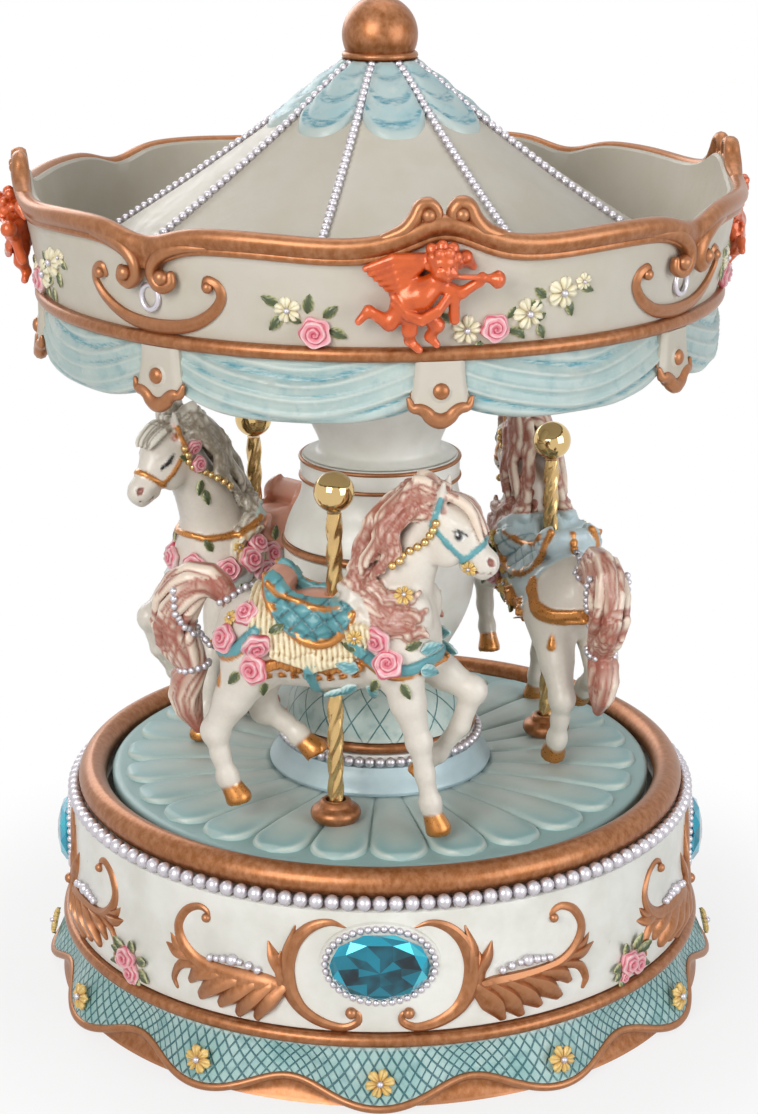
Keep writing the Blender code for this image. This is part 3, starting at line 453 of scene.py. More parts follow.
def spot_seed(spots):
    """A mesh of bare points. Each spot is (point, turn as an Euler or a matrix, size)."""
    mesh = bpy.data.meshes.new("spots")
    turns, spans = [], []
    for _, turn, size in spots:
        turns += list(turn if isinstance(turn, (tuple, Euler)) else turn.to_3x3().to_euler())
        spans += [size] * 3 if np.isscalar(size) else list(size)
    mesh.from_pydata([MM * Vector(s[0]) for s in spots], [], [])
    mesh.attributes.new("turn", "FLOAT_VECTOR", "POINT").data.foreach_set("vector", turns)
    mesh.attributes.new("size", "FLOAT_VECTOR", "POINT").data.foreach_set("vector", spans)
    return mesh


def spread(name, ornament, spots, finish, stands_for=(), body="carousel", sharp=None):
    """Sets an ornament on every spot and joins them into one piece."""
    mesh = ornament.mesh(name) if isinstance(ornament, Shape) else ornament
    pattern = bpy.data.objects.new(name + "_pattern", mesh)
    bpy.context.scene.collection.objects.link(pattern)
    obj = grown(name, spot_seed(spots), spread_tree(), finish, stands_for, body, sharp, Ornament=pattern)
    bpy.data.objects.remove(pattern, do_unlink=True)
    return obj


def facing(azimuth, roll=0, lean=0):
    """Turns an ornament that is modelled flat, facing +Z with its top at +Y, so that it faces
    outwards at an azimuth. roll turns it on the wall and lean tips its face upwards."""
    return (Matrix.Rotation(radians(azimuth), 4, "Z")
        @ Matrix.Rotation(radians(90 - lean), 4, "X") @ Matrix.Rotation(radians(roll), 4, "Z"))


def along_normal(normal, roll=0):
    """The same for a face in any direction."""
    z = Vector(normal).normalized()
    x = Vector((0, 0, 1)).cross(z)
    if x.length < 1e-4:
        x = Vector((1, 0, 0))
    x.normalize()
    y = z.cross(x)
    return Matrix((x, y, z)).transposed().to_4x4() @ Matrix.Rotation(radians(roll), 4, "Z")


# ---- finishes ----
class Finish:
    """A material under construction."""

    def __init__(self, name, rough=0.4, metal=0, coat=0, ior=1.5):
        self.material = bpy.data.materials.new(name)
        self.material.use_nodes = True
        self.tree = self.material.node_tree
        self.shader = self.tree.nodes["Principled BSDF"]
        self.set(Roughness=rough, Metallic=metal, Coat_Weight=coat, Coat_Roughness=0.12, IOR=ior)
        self.spot = put(self.tree, "TexCoord").outputs["Object"]

    def set(self, *dents, **inputs):
        """Feeds the shader's inputs and adds bumps from (height, depth in millimetres) layers."""
        for name, value in inputs.items():
            feed(self.tree, value, self.shader.inputs[name.replace("_", " ")])
        normal = None
        for height, depth in dents:
            normal = put(self.tree, "Bump", Strength=1, Distance=depth * MM, Height=height, Normal=normal)
        feed(self.tree, normal, self.shader.inputs["Normal"])
        return self.material

    def cloud(self, grain, detail=3, stretch=(1, 1, 1), rough=0.55):
        """Soft noise with features of one grain, from 0 to 1."""
        at = put(self.tree, "Mapping", Vector=self.spot, Scale=stretch)
        return put(self.tree, "TexNoise", Vector=at, Scale=1.0 / (grain * MM), Detail=detail, Roughness=rough)

    def math(self, kind, a, b=0, c=0):
        return put(self.tree, "Math", {"operation": kind}, i0=a, i1=b, i2=c)

    def band(self, value, low, high, to_low=0, to_high=1):
        """A smooth step of a value, kept between its two ends."""
        return put(self.tree, "MapRange", {"interpolation_type": "SMOOTHSTEP"},
            Value=value, From_Min=low, From_Max=high, To_Min=to_low, To_Max=to_high)

    def mix(self, share, a, b, kind="MIX"):
        node = put(self.tree, "Mix", {"data_type": "RGBA", "blend_type": kind}, i0=share)
        feed(self.tree, a, node.inputs[6])
        feed(self.tree, b, node.inputs[7])
        return node.outputs[2]

    def attribute(self, name, colour=False):
        node = put(self.tree, "Attribute", {"attribute_name": name})
        return node.outputs["Color" if colour else "Fac"]

    def edges(self):
        """0 in hollows, 0.5 on plain ground and 1 on sharp edges."""
        return put(self.tree, "NewGeometry").outputs["Pointiness"]

    def lattice(self, across, along, width):
        """Diamond lines on the piece's flat map, a share of the pitch wide: 1 on a line."""
        u, v, _ = put(self.tree, "SeparateXYZ", Vector=put(self.tree, "UVMap", {"uv_map": "flat"})).outputs
        lines = []
        for sign in (1, -1):
            t = self.math("MULTIPLY_ADD", v, sign * along, 100)
            t = self.math("FRACT", self.math("ADD", self.math("MULTIPLY", u, across), t))
            t = self.math("ABSOLUTE", self.math("SUBTRACT", t, 0.5))
            lines.append(self.band(t, width, 0.35 * width))
        return self.math("MAXIMUM", lines[0], lines[1])


FINISHES = {}


def glaze(name, colour, shade, rough=0.33, grain=6):
    """Painted and varnished resin, with painted shade that makes it a little darker in its hollows."""
    f = Finish(name, rough, 0, 0.1)
    soft = f.cloud(grain * 2.2, 4)
    fine = f.cloud(grain * 0.16, 3)
    body = f.mix(f.band(soft, 0.3, 0.75), colour, f.mix(0.5, colour, shade))
    # painted shade: the colour goes towards the shade colour in hollows
    body = f.mix(f.band(f.edges(), 0.495, 0.44), body, shade)
    body = f.mix(f.band(fine, 0.70, 0.80, 0, 0.35), body, shade)
    return f.set((soft, 0.25), (f.cloud(grain * 0.35, 4), 0.06), (fine, 0.012),
        Base_Color=body, Roughness=f.band(f.cloud(grain * 0.5), 0.2, 0.8, rough - 0.06, rough + 0.12))


def gold_paint(name, colour, rough=0.36, stretch=(1, 1, 0.7)):
    """Metallic copper-gold paint, brushed on, with painted highlights on its edges and painted shade in its
    hollows.
    """
    f = Finish(name, rough, 0.66, 0.12)
    # dark is the tone of the darker patches and of the painted shade in hollows; light is the tone of the
    # lighter brush strokes and of the painted highlights on edges
    dark = tuple(c * k for c, k in zip(colour, (0.52, 0.40, 0.30)))
    light = tuple(min(1, c * k + 0.05) for c, k in zip(colour, (1.35, 1.5, 1.7)))
    stroke = f.cloud(1.6, 5, stretch, 0.62)
    patch = f.cloud(9, 3)
    body = f.mix(f.band(stroke, 0.30, 0.75), colour, light)
    body = f.mix(f.band(patch, 0.40, 0.80, 0, 0.14), body, dark)
    # painted shade: darker in hollows
    body = f.mix(f.band(f.edges(), 0.490, 0.42, 0, 0.6), body, dark)
    # painted highlight: brighter on sharp edges
    body = f.mix(f.band(f.edges(), 0.515, 0.57, 0, 0.8), body, light)
    return f.set((f.cloud(0.7, 4, stretch), 0.018), (patch, 0.08), (f.cloud(0.22, 2), 0.008),
        Base_Color=body, Roughness=f.band(stroke, 0.25, 0.8, rough - 0.04, rough + 0.1))


def teal_wash(name, colour, deep, white, lines=None, rough=0.42):
    """Pale teal wiped over a relief, with deep teal left in lines. lines is the lattice's
    (across, along, width) on the flat map, or None for the painted folds."""
    f = Finish(name, rough, 0, 0.12)
    wipe = f.cloud(2.6, 5, (1, 1, 1), 0.65)
    patch = f.cloud(11, 3)
    body = f.mix(f.band(patch, 0.3, 0.75, 0, 0.55), colour, white)
    body = f.mix(f.band(wipe, 0.52, 0.75, 0, 0.55), body, white)
    mottle = f.mix(0.45, colour, deep)
    body = f.mix(f.band(f.cloud(4.5, 4), 0.52, 0.72, 0, 0.6), body, mottle)
    if lines:
        cut = f.lattice(*lines)
        groove = f.math("MULTIPLY", cut, f.band(f.cloud(1.4, 3), 0.25, 0.5, 0.55, 1))
        body = f.mix(groove, body, deep)
        dents = (patch, 0.15), (wipe, 0.05), (f.math("SUBTRACT", 1, cut), 0.35)
    else:
        stain = f.attribute("shine")
        brush = f.band(f.cloud(2.2, 5, (0.5, 0.5, 2.6), 0.7), 0.36, 0.66)
        body = f.mix(f.math("MULTIPLY", f.band(stain, 0.12, 0.62), brush), body, deep)
        dents = (patch, 0.15), (wipe, 0.05)
    body = f.mix(f.band(f.edges(), 0.51, 0.55, 0, 0.6), body, white)
    return f.set(*dents, Base_Color=body, Roughness=f.band(wipe, 0.2, 0.8, rough - 0.05, rough + 0.15))


def hand_paint(name, rough=0.40, wash=(0.30, 0.22, 0.16), coat=0.15, hollow_shade_share=0.55):
    """Colours brushed on by hand from the piece's own paint, metal where its shine says so, with painted shade
    that darkens the hollows towards the wash colour.
    """
    f = Finish(name, rough, 0, coat)
    ground = f.attribute("paint", True)
    shine = f.attribute("shine")
    brush = f.cloud(0.9, 4, (1, 1, 1), 0.6)
    # the tone of the painted shade in hollows
    hollow_shade_colour = f.mix(0.55, ground, wash)
    body = f.mix(f.band(brush, 0.35, 0.8, 0, 0.22), ground, f.mix(1, ground, (1.25, 1.22, 1.18), "MULTIPLY"))
    body = f.mix(f.band(f.cloud(3.5, 3), 0.5, 0.8, 0, 0.3), body, f.mix(0.3, ground, wash))
    # painted shade: hollows go towards a darker mix of the paint and the wash colour, less so on metal
    stain = f.math("MULTIPLY",
        f.band(f.edges(), 0.495, 0.42, 0, hollow_shade_share), f.math("SUBTRACT", 1, f.math("MULTIPLY", shine, 0.7)))
    body = f.mix(stain, body, hollow_shade_colour)
    body = f.mix(f.math("MULTIPLY", shine, 0.7), body, ground)
    rough = f.math("SUBTRACT",
        f.band(brush, 0.2, 0.8, rough - 0.06, rough + 0.14), f.math("MULTIPLY", shine, 0.08))
    return f.set((brush, 0.03),
        (f.cloud(0.35, 3), 0.012), Base_Color=body, Metallic=f.math("MULTIPLY", shine, 0.62), Roughness=rough)


def plating(name, colour, rough, grain=1.2, depth=0.01, tarnish=0.25, metal=1):
    """Polished or satin plated metal with a little tarnish."""
    f = Finish(name, rough, metal)
    dark = tuple(c * 0.55 for c in colour)
    stain = f.cloud(grain * 3, 4)
    return f.set((f.cloud(grain, 3), depth), Base_Color=f.mix(f.band(stain, 0.45, 0.8, 0, tarnish),
        colour, dark), Roughness=f.band(f.cloud(grain, 3), 0.25, 0.8, rough * 0.75, rough * 1.5))


def plain_finishes():
    """Every finish of the music box."""
    c = colours()
    white, ivory = tuple(c.white), tuple(c.ivory)
    deep = tuple(c.deep_teal)
    F = FINISHES
    F["white"] = glaze("white glaze", white, rgb(205, 203, 190))
    F["ivory"] = glaze("ivory glaze", ivory, rgb(192, 185, 164), 0.5)
    F["gold"] = gold_paint("copper gold paint", tuple(c.gold))
    F["skirt"] = teal_wash("skirt wash", tuple(c.skirt), deep, rgb(206, 224, 220), (190, 6.8, 0.12))
    F["bulb"] = teal_wash("bulb wash",
        rgb(186, 208, 204), rgb(70, 132, 136), rgb(220, 228, 222), (20, 1.75, 0.035))
    F["swag"] = teal_wash("swag wash", tuple(c.swag), rgb(58, 138, 156), rgb(204, 212, 206))
    F["foot"] = glaze("pale blue glaze", rgb(196, 216, 222), rgb(150, 180, 190))
    F["flower"] = hand_paint("flower paint", 0.36, rgb(120, 70, 50), 0.35, 0.5)
    F["platform"] = hand_paint("platform paint", 0.42, rgb(110, 156, 162), 0.15, 0.8)
    F["horse"] = hand_paint("horse paint", 0.36, rgb(150, 112, 90), 0.2, 0.5)
    F["silver"] = plating("silver pearl plating", tuple(c.silver), 0.34, 0.8, 0.012, 0.15, 0.75)
    F["roof_petal"] = teal_wash("roof petal wash", rgb(160, 196, 202), rgb(56, 136, 156), rgb(206, 214, 208))
    F["ball"] = plating("mirror brass", rgb(214, 184, 128), 0.05, 4, 0.002, 0.1)
    F["brass"] = plating("polished brass", tuple(c.brass), 0.2, 2, 0.006, 0.2, 0.8)
    F["steel"] = plating("bright steel", rgb(150, 154, 160), 0.3, 0.6, 0.01)
    F["cherub"] = cherub_glaze(tuple(c.glaze))
    F["gem"] = gem_glass(tuple(c.gem))
    F["felt"] = felt()
    F["board"] = board()


def cherub_glaze(colour):
    """Glossy copper glaze, darker in soft patches, with painted shade in its hollows and a painted highlight on
    its edges.
    """
    f = Finish("cherub glaze", 0.30, 0.25, 0.4)
    patch_and_shade_tone = tuple(x * k for x, k in zip(colour, (0.5, 0.3, 0.25)))
    # thin is the pale tone of the painted highlight on edges
    thin = tuple(min(1, x * 1.25 + 0.06) for x in colour)
    # painted shade: darker in hollows
    body = f.mix(f.band(f.edges(), 0.495, 0.42), colour, patch_and_shade_tone)
    # painted highlight: paler on sharp edges
    body = f.mix(f.band(f.edges(), 0.51, 0.58), body, thin)
    body = f.mix(f.band(f.cloud(3, 3), 0.45, 0.75, 0, 0.4), body, patch_and_shade_tone)
    return f.set((f.cloud(1.3, 3), 0.09), (f.cloud(0.5, 2), 0.02), Base_Color=body)


def gem_glass(colour):
    """Foil-backed faceted glass: every facet has its own tone from the piece's paint, with painted reflections
    on the bright facets and painted shade on the dark ones.
    """
    f = Finish("teal glass", 0.04, 0.35, 0.35, 1.52)
    tone = f.attribute("paint", True)
    return f.set(Base_Color=f.mix(f.band(f.cloud(7, 2), 0.35, 0.7, 0, 0.35), tone, colour),
        Roughness=f.band(f.cloud(3, 2), 0.3, 0.8, 0.03, 0.09), Coat_Roughness=0.03)


def felt():
    f = Finish("green felt", 0.95)
    nap = f.cloud(0.5, 5, (1, 1, 1), 0.8)
    return f.set((nap, 0.2),
        Base_Color=f.mix(f.band(nap, 0.3, 0.7), rgb(28, 66, 54), rgb(54, 98, 82)), Sheen_Weight=0.6)


def board():
    f = Finish("pressed board", 0.8)
    fibre = f.cloud(1.4, 6, (1, 0.15, 1), 0.75)
    return f.set((fibre, 0.1), Base_Color=f.mix(f.band(fibre, 0.3, 0.7), rgb(116, 86, 58), rgb(150, 118, 84)))


# ---- ornaments that are used in several places ----
PINK = [rgb(250, 226, 224), rgb(234, 142, 158), rgb(192, 28, 66)]
YELLOW = [rgb(250, 226, 160), rgb(236, 198, 112), rgb(186, 128, 56)]
LEAF = [rgb(52, 66, 36), rgb(92, 106, 56), rgb(206, 206, 160)]
GOLD = rgb(190, 126, 62)


def shade(stops, share):
    """A colour between dark and light stops for each share from 0 to 1."""
    stops = array(stops)
    share = clip(np.asarray(share, float), 0, 1) * (len(stops) - 1)
    i = minimum(share.astype(int), len(stops) - 2)
    t = (share - i)[..., None]
    return stops[i] * (1 - t) + stops[i + 1] * t


def slab(shape, top, bottom, colour, shine=0, wrap=False):
    """A relief with a modelled top and a plain back, closed round its edge."""
    rows, cols = top.shape[:2]
    n = rows * cols
    faces, corners = net(rows, cols, False, wrap)
    rim = []
    if wrap:
        a = (rows - 1) * cols + np.arange(cols)
        rim = [[a[i], a[(i + 1) % cols], n + a[(i + 1) % cols], n + a[i]] for i in range(cols)]
    else:
        edge = ([(0, c) for c in range(cols)] + [(r, cols - 1) for r in range(1, rows)]
            + [(rows - 1, c) for c in range(cols - 2, -1, -1)] + [(r, 0) for r in range(rows - 2, 0, -1)])
        ids = [r * cols + c for r, c in edge]
        rim = [[ids[i - 1], ids[i], n + ids[i], n + ids[i - 1]] for i in range(len(ids))]
    colour = np.broadcast_to(np.asarray(colour, float), (rows, cols, 3)).reshape(-1, 3)
    shine = np.broadcast_to(np.asarray(shine, float), (rows, cols)).ravel()
    maps = list(corners) + list(corners[:, ::-1]) + [zeros((4, 2))] * len(rim)
    shape.add(concatenate([top.reshape(-1, 3), bottom.reshape(-1, 3)]),
        [list(f) for f in faces] + [list(f[::-1] + n) for f in faces] + rim,
        concatenate([colour, colour]), concatenate([shine, shine]), maps)
    return shape


def rosette(shape, radius, stops=PINK, matrix=None, turns=2.6, rings=15, spokes=30):
    """A cabbage rose: rows of overlapping petals that close into a spiral heart."""
    rho, theta = span(rings, 2)[0], around(spokes)[None, :]
    saw = (rho * turns - theta / (2 * pi)) % 1.0
    five = cos(5 * theta + 1.7 * np.floor(rho * turns))
    lip = exp(-((saw - 0.82) / 0.16) ** 2)
    crease = exp(-((saw - 0.06) / 0.10) ** 2) + exp(-((saw - 1.02) / 0.08) ** 2)
    r = radius * rho * (1 + 0.09 * rho ** 2 * five)
    dome = 0.62 * radius * sqrt(maximum(1 - 0.86 * rho ** 2, 0))
    z = dome + radius * (0.13 * lip - 0.10 * crease) * (rho > 0.04) - 0.05 * radius * rho * five
    top = xyz(r * cos(theta), r * sin(theta), z)
    back = top * array([0.86, 0.86, 0]) - array([0, 0, 0.12 * radius])
    tone = 0.36 - 0.34 * lip + 0.75 * crease + 0.55 * (1 - rho) ** 2.2
    return slab(shape, apply(matrix, top), apply(matrix, back), shade(stops, tone), wrap=True)


def bloom(shape, radius, petals=6, stops=YELLOW, matrix=None, lift=0.34):
    """An open flower with cupped petals round a bead."""
    rho, theta = span(9, 2)[0], around(petals * 8)[None, :]
    wave = np.abs(cos(petals * theta / 2))
    reach = 0.56 + 0.44 * wave ** 0.4
    r = radius * rho * (1 + (reach - 1) * rho ** 0.8)
    cup = lift * radius * (0.35 + 0.75 * sin(pi * minimum(rho * 0.85, 1)) * wave ** 0.6 - 0.25 * rho)
    cup = cup - 0.16 * radius * exp(-((1 - wave)
        / 0.02) ** 2) * rho - 0.13 * radius * (wave > 0.985) * (rho > 0.3)
    top = xyz(r * cos(theta), r * sin(theta), cup)
    back = top * array([0.9, 0.9, 0]) - array([0, 0, 0.1 * radius])
    tone = 0.95 - 0.75 * rho ** 0.7 * wave ** 0.5 + 0.3 * (wave > 0.985)
    slab(shape, apply(matrix, top), apply(matrix, back), shade(stops, tone), wrap=True)
    return ball(shape, apply(matrix, array([0, 0, 0.30 * radius])),
        0.24 * radius, rgb(200, 196, 204), 1, rows=7, cols=10)


def leaf(shape, long, wide, stops=LEAF, matrix=None, curl=0.25, shine=0):
    """A pointed leaf with a midrib and side veins, modelled along +X."""
    t, s = span(9, 9, -1, 1)
    w = 0.5 * wide * sin(pi * t ** 0.8) ** 0.75 * (1 + 0.12 * cos(9 * pi * t)) + 0.015 * wide
    vein = cos(2 * pi * (4.2 * t - 1.3 * np.abs(s)))
    z = (0.30 * wide * (1 - s ** 2) * sin(pi * clip(t, 0.04, 0.96))
        - 0.12 * wide * exp(-(s / 0.2) ** 2) + 0.035 * wide * vein * (1 - s ** 2) + curl * long * t ** 2 * 0.5)
    top = xyz(long * t, w * s, z)
    back = top * array([1, 1, 0]) + array([0, 0, -0.12 * wide])
    back[..., 2] += (curl * long * t ** 2 * 0.5)
    tone = 0.10 + 0.9 * np.abs(s) ** 2.2 + 0.22 * vein * (np.abs(s) > 0.15) + 0 * t
    return slab(shape, apply(matrix, top), apply(matrix, back), shade(stops, tone), shine)


def turn(angle, x=0, y=0, z=0, scale=1, tip=0):
    """A flat placing in millimetres: turned in the wall's plane and tipped up."""
    return (Matrix.Translation((x, y, z)) @ Matrix.Rotation(radians(angle), 4, "Z")
        @ Matrix.Rotation(radians(-tip), 4, "Y") @ Matrix.Scale(scale, 4))


def scroll_skin(shape, spots, radius, azimuth, tall, count, rib=0, sides=10, lift=0):
    """A tapered scroll laid on a round wall. spots are (x, z, half width) in millimetres."""
    line = smooth_line(spots, count)
    x, z, half = line[:, 0], line[:, 1], maximum(line[:, 2], 0.05)
    path = wall_point(x, z, lift, radius(z) if callable(radius) else radius, azimuth)
    return cord_skin(shape, path, half, path * (1, 1, 0), tall, sides, rib=rib)


# ---- drum, skirt and rim ----
DRUM_TOP_Z, MOULD_Z = 50.4, 18.8


def drum_radius(z):
    """The drum widens a little towards its foot."""
    return 83.0 + 2.0 * (DRUM_TOP_Z - z) / (DRUM_TOP_Z - MOULD_Z)


def make_drum():
    inner, foot = 76.9, 81.4
    wall = [(inner, 1.1), (foot, 1.1), (foot, MOULD_Z + 0.3), (84.9, MOULD_Z + 0.3)]
    wall += [(drum_radius(z) + 0.25 * sin(pi * (z - MOULD_Z) / (DRUM_TOP_Z - MOULD_Z)), z)
        for z in linspace(MOULD_Z + 0.6, DRUM_TOP_Z - 0.4, 12)]
    wall += [(82.5, DRUM_TOP_Z),
        (76.3, 51.2), (74.5, DRUM_TOP_Z), (74.5, 43.6), (2.6, 43.6), (2.6, 41), (inner, 41)]
    body = lathe(wall, 240)
    for azimuth in (45, 135, 225, 315):
        centre = polar(68, azimuth)
        post = [(1.8, 14.9), (4.5, 14.9), (4.5, 42), (1.8, 42)]
        one = lathe(post, 24)
        body.add(one.points[0] + array(centre), one.faces)
    place("drum_wall", body, "white", "base_drum", body="base")
    low = MOULD_Z - 3.6
    ring = [(81.7, low)] + [(85, low)] + arc(85.3, low + 1.75, 1.7, -80, 75, 12) \
        + [(84.6, MOULD_Z - 0.1), (81.7, MOULD_Z - 0.1)]
    place("lower_gold_moulding", lathe(ring, 240), "gold", "lower_moulding", body="base")
    rim = arc(77.8, RIM_Z, 3.75, -108, 252, 40)[:-1]
    rim = [(r, z + 0.15 * cos((r - 77.8) / 1.2)) for r, z in rim]
    place("gold_rim", lathe(rim, 256), "gold", "rim_ring", body="base")


def skirt_wave(azimuth):
    """1 in the middle of a lobe and -1 between two lobes, a little flattened at the lobes."""
    w = cos(radians(12 * azimuth))
    return w + 0.12 * (1 - w * w)


def make_skirt():
    top = MOULD_Z - 3.9

    def hem(azimuth):
        wave = skirt_wave(azimuth)
        return 88.6 + 2.4 * wave, 1.3 + 2.5 * (1 - wave)

    def section(azimuth):
        out, low = hem(azimuth)
        wave = skirt_wave(azimuth)
        outer = []
        for t in linspace(0, 1, 14):
            swell = sin(pi * t) * 0.9 * wave
            outer.append((84.9 + (out - 84.9) * t ** 1.25 + swell, top + (low - top) * t))
        inner = [(max(r - 1.5, 82.2), z) for r, z in reversed(outer)]
        return outer + inner

    place("lattice_skirt", sweep(section, 480), "skirt", "base_skirt", body="base")
    gold = Shape()
    line = array([on_ring(hem(a)[0] - 0.2, a, hem(a)[1] - 0.1) for a in linspace(0, 360, 480, endpoint=False)])
    cord_skin(gold, line, 1.05, line * (1, 1, 0), 0.9, ring=True)

    def lining(azimuth):
        out, low = hem(azimuth)
        outer = [(out - 0.5, low)]
        for t in linspace(0.15, 1, 7):
            outer.append((out - 0.5 + (87.6 - out + 0.5) * t - 0.9 * sin(pi * t), low + (0.1 - low) * t))
        return outer + [(84, 0.1), (83, low + 1.5), (out - 1.2, low + 0.6)]

    sweep(lining, 480, gold)
    place("gold_hem", gold, "gold", body="base")


def make_rim_pearls():
    ring = [tuple(polar(82.75, a, 52.35)) for a in linspace(0, 360, 360, endpoint=False)]
    grown("rim_pearls", line_seed([(ring, True)]), bead_tree(), "silver",
        "rim_pearl_ring", body="base", Radius=size("rim_pearl"), Pitch=2 * pi * 82.75 / 133.2, Rings=8)


# ---- gems, scrolls and flowers of the drum ----
GEM_Z = 36.6


def gem_shape(azimuth):
    """An oval stone: a ring of long crown facets round a triangulated table."""
    shape, rng, n = Shape(), np.random.default_rng(11), 10
    rings = []
    for scale, out, shift in ((1, 0, 0), (0.97, 0.9, 0.5), (0.80, 2.3, 0), (0.42, 3.2, 0.5)):
        a = 2 * pi * (np.arange(n) + shift) / n
        rings.append(stack([12.3 * scale * cos(a), 8.8 * scale * sin(a), np.full(n, out)], -1))
    tris = []
    for i in range(n):
        j = (i + 1) % n
        for low, high in ((0, 1), (2, 3)):
            tris += [(rings[low][i], rings[low][j], rings[high][i]),
                (rings[low][j], rings[high][j], rings[high][i])]
        tris += [(rings[1][i], rings[1][j], rings[2][j]), (rings[2][i], rings[1][i], rings[2][j])]
        tris += [(rings[3][i], rings[3][j], array([0.0, 0.0, 3.6])), (rings[0][j], rings[0][i], zeros(3))]
    # painted reflections and painted shade: each facet gets one fixed tone, the darker ones mostly on the table
    # and the brighter ones round the crown
    lit_and_shaded_facet_tones = [rgb(8, 34, 44), rgb(0, 122, 146), rgb(0, 164, 192), rgb(70, 208, 226), rgb(10, 66, 78)]
    for tri in tris:
        tri = array(tri)
        centre = tri.mean(0)
        inside = hypot(centre[0] / 12.3, centre[1] / 8.8)
        spread_of = [0, 4, 0, 0, 1] if inside < 0.72 else [2, 1, 2, 3, 2, 1]
        tone = array(lit_and_shaded_facet_tones[spread_of[rng.integers(len(spread_of))]]) * rng.uniform(0.85, 1.15)
        x, z, out = tri[:, 0], GEM_Z + tri[:, 1], tri[:, 2]
        points = wall_point(x, z, out + 0.45, drum_radius(GEM_Z - 9), azimuth)
        shape.add(points, [(0, 1, 2)], tone)
    return shape


def make_gems():
    frames, beds = [], Shape()
    for side, azimuth in SIDES:
        mesh = gem_shape(azimuth).mesh("gem", weld=False)
        bm = bmesh.new()
        bm.from_mesh(mesh)
        bmesh.ops.recalc_face_normals(bm, faces=bm.faces)
        centre = 0.97 * MM * polar(drum_radius(GEM_Z), azimuth, GEM_Z)
        for face in bm.faces:
            if face.normal.dot(face.calc_center_median() - centre) < 0:
                face.normal_flip()
        bm.to_mesh(mesh)
        bm.free()
        mesh.shade_flat()
        place("oval_gem_" + side, mesh, "gem", "gem_" + side, body="base", sharp=None)
        a, b = around(120), around(64)[None, :]
        oval = wall_point(13.35 * cos(a), GEM_Z + 9.85 * sin(a), 0.55, drum_radius(GEM_Z), azimuth)
        frames.append((oval.tolist(), True))
        swell = array([0, 1, 1.06, 1.09])[:, None]
        outs = array([0.5, 0.5, 0.3, -0.3])[:, None] + 0 * b
        top, bottom = (wall_point(14.0 * swell * cos(b),
            GEM_Z + 10.4 * swell * sin(b), out, drum_radius(GEM_Z), azimuth) for out in (outs, 0 * outs - 1))
        slab(beds, top, bottom, (1, 1, 1), wrap=True)
    grown("gem_pearl_frames",
        line_seed(frames), bead_tree(), "silver", body="base", Radius=size("gem_pearl"), Pitch=1.98, Rings=7)
    place("gem_beds", beds, "white", body="base")


# one side of the scrolls: spots (x, z, half width), how far it stands out, steps, depth of its ribs
SCROLL = [([(8, 46, 0.2), (12.2, 47.2, 0.9), (16.8, 45.6, 1.4),
    (20.4, 41.8, 1.7), (22.4, 36.8, 2), (22.8, 32.3, 2.3), (21.6, 27.8, 2.1), (18.8, 23.9, 1.7),
    (14.2, 21.2, 1.4), (9, 20.2, 1.1), (5.6, 21.6, 1), (5.4, 23.6, 0.9), (7, 24.2, 1.1)], 0.75, 56, 0.10),
    ([(22.4, 29, 1.2), (28, 29.4, 2.6), (34, 29.6, 2.6), (41, 30.2, 2.2), (47.4, 31.4, 2), (51.8, 34.8, 1.7),
    (53.4, 39.4, 1.4), (51, 43.9, 1.2), (47.2, 45.9, 1), (44.6, 45.2, 0.9), (44.4, 43.4, 0.9)], 0.72, 48, 0.10),
    ([(24.5, 28.4, 1.6), (30, 26.8, 2.7), (37, 26.7, 3), (43.4, 27.8, 2.3), (48, 29.4, 1.2)], 0.5, 30, 0.2)]
TIPS = [[(22.6, 34, 1.5), (22.6, 39, 1.6), (20.8, 45.6, 0.3)],
    [(23.6, 32, 1.6), (26.2, 36.6, 1.7), (27.6, 40.6, 0.4)], [(24.2, 30.5, 1.5), (24.8, 35, 1.4),
    (24.4, 38.4, 0.4)], [(23.8, 29.5, 1.8), (28, 25.2, 3), (30.6, 20.6, 1.2)], [(27.4, 29.5, 2),
    (32.2, 25.2, 3.1), (35.4, 20.9, 1.4)], [(31.4, 29.5, 2.1), (36.6, 25.9, 3), (40.4, 22.2, 1.4)],
    [(36.4, 29.4, 2.1), (42, 26.6, 2.9), (46, 23.2, 1.6)], [(41.2, 29.8, 1.8), (46.8, 28.6, 2.2),
    (49.4, 26.2, 1.2)], [(46, 31, 1.3), (52.4, 29.4, 1.3), (55, 25.4, 1), (54.2, 22.8, 0.6)], [(49.6, 32, 1.2),
    (53.6, 32.2, 1.6), (57.4, 33.6, 0.4)], [(50.4, 33.4, 1), (54, 34.4, 1.2), (56, 36.6, 0.3)]]


def make_scrolls():
    """Acanthus scrolls, one each side of every gem, with a row of pearls on each."""
    gold = Shape()
    rows = []
    for _, azimuth in SIDES:
        for side in (-1, 1):
            for spots, *form in SCROLL + [(tip, 0.95, 14, 0.16, 12) for tip in TIPS]:
                scroll_skin(gold, [(side * x, z, w) for x, z, w in spots], drum_radius, azimuth, *form)
            for x, z, r in ((7, 24.2, 1.5), (44.6, 43.6, 1.2)):
                ball(gold, wall_point(side * x, z, 0.5, drum_radius(z), azimuth), r, rows=8, cols=12)
            for x, z, r in ((30.2, 33.2, 1.05), (32.6, 33.9, 1.1),
                    (35, 34.3, 0.9), (37, 34.5, 1.55), (39.4, 34.3, 1.15), (41.3, 34, 0.95), (43.2, 33.8, 1)):
                rows.append((wall_point(side * x, z, 1.1, drum_radius(z), azimuth), (0, 0, 0), r))
    place("acanthus_scrolls", gold, "gold", body="base")
    bead = ball(Shape(), (0, 0, 0), 1, rows=8, cols=12).mesh("bead")
    spread("scroll_pearls", bead, rows, "silver", body="base")


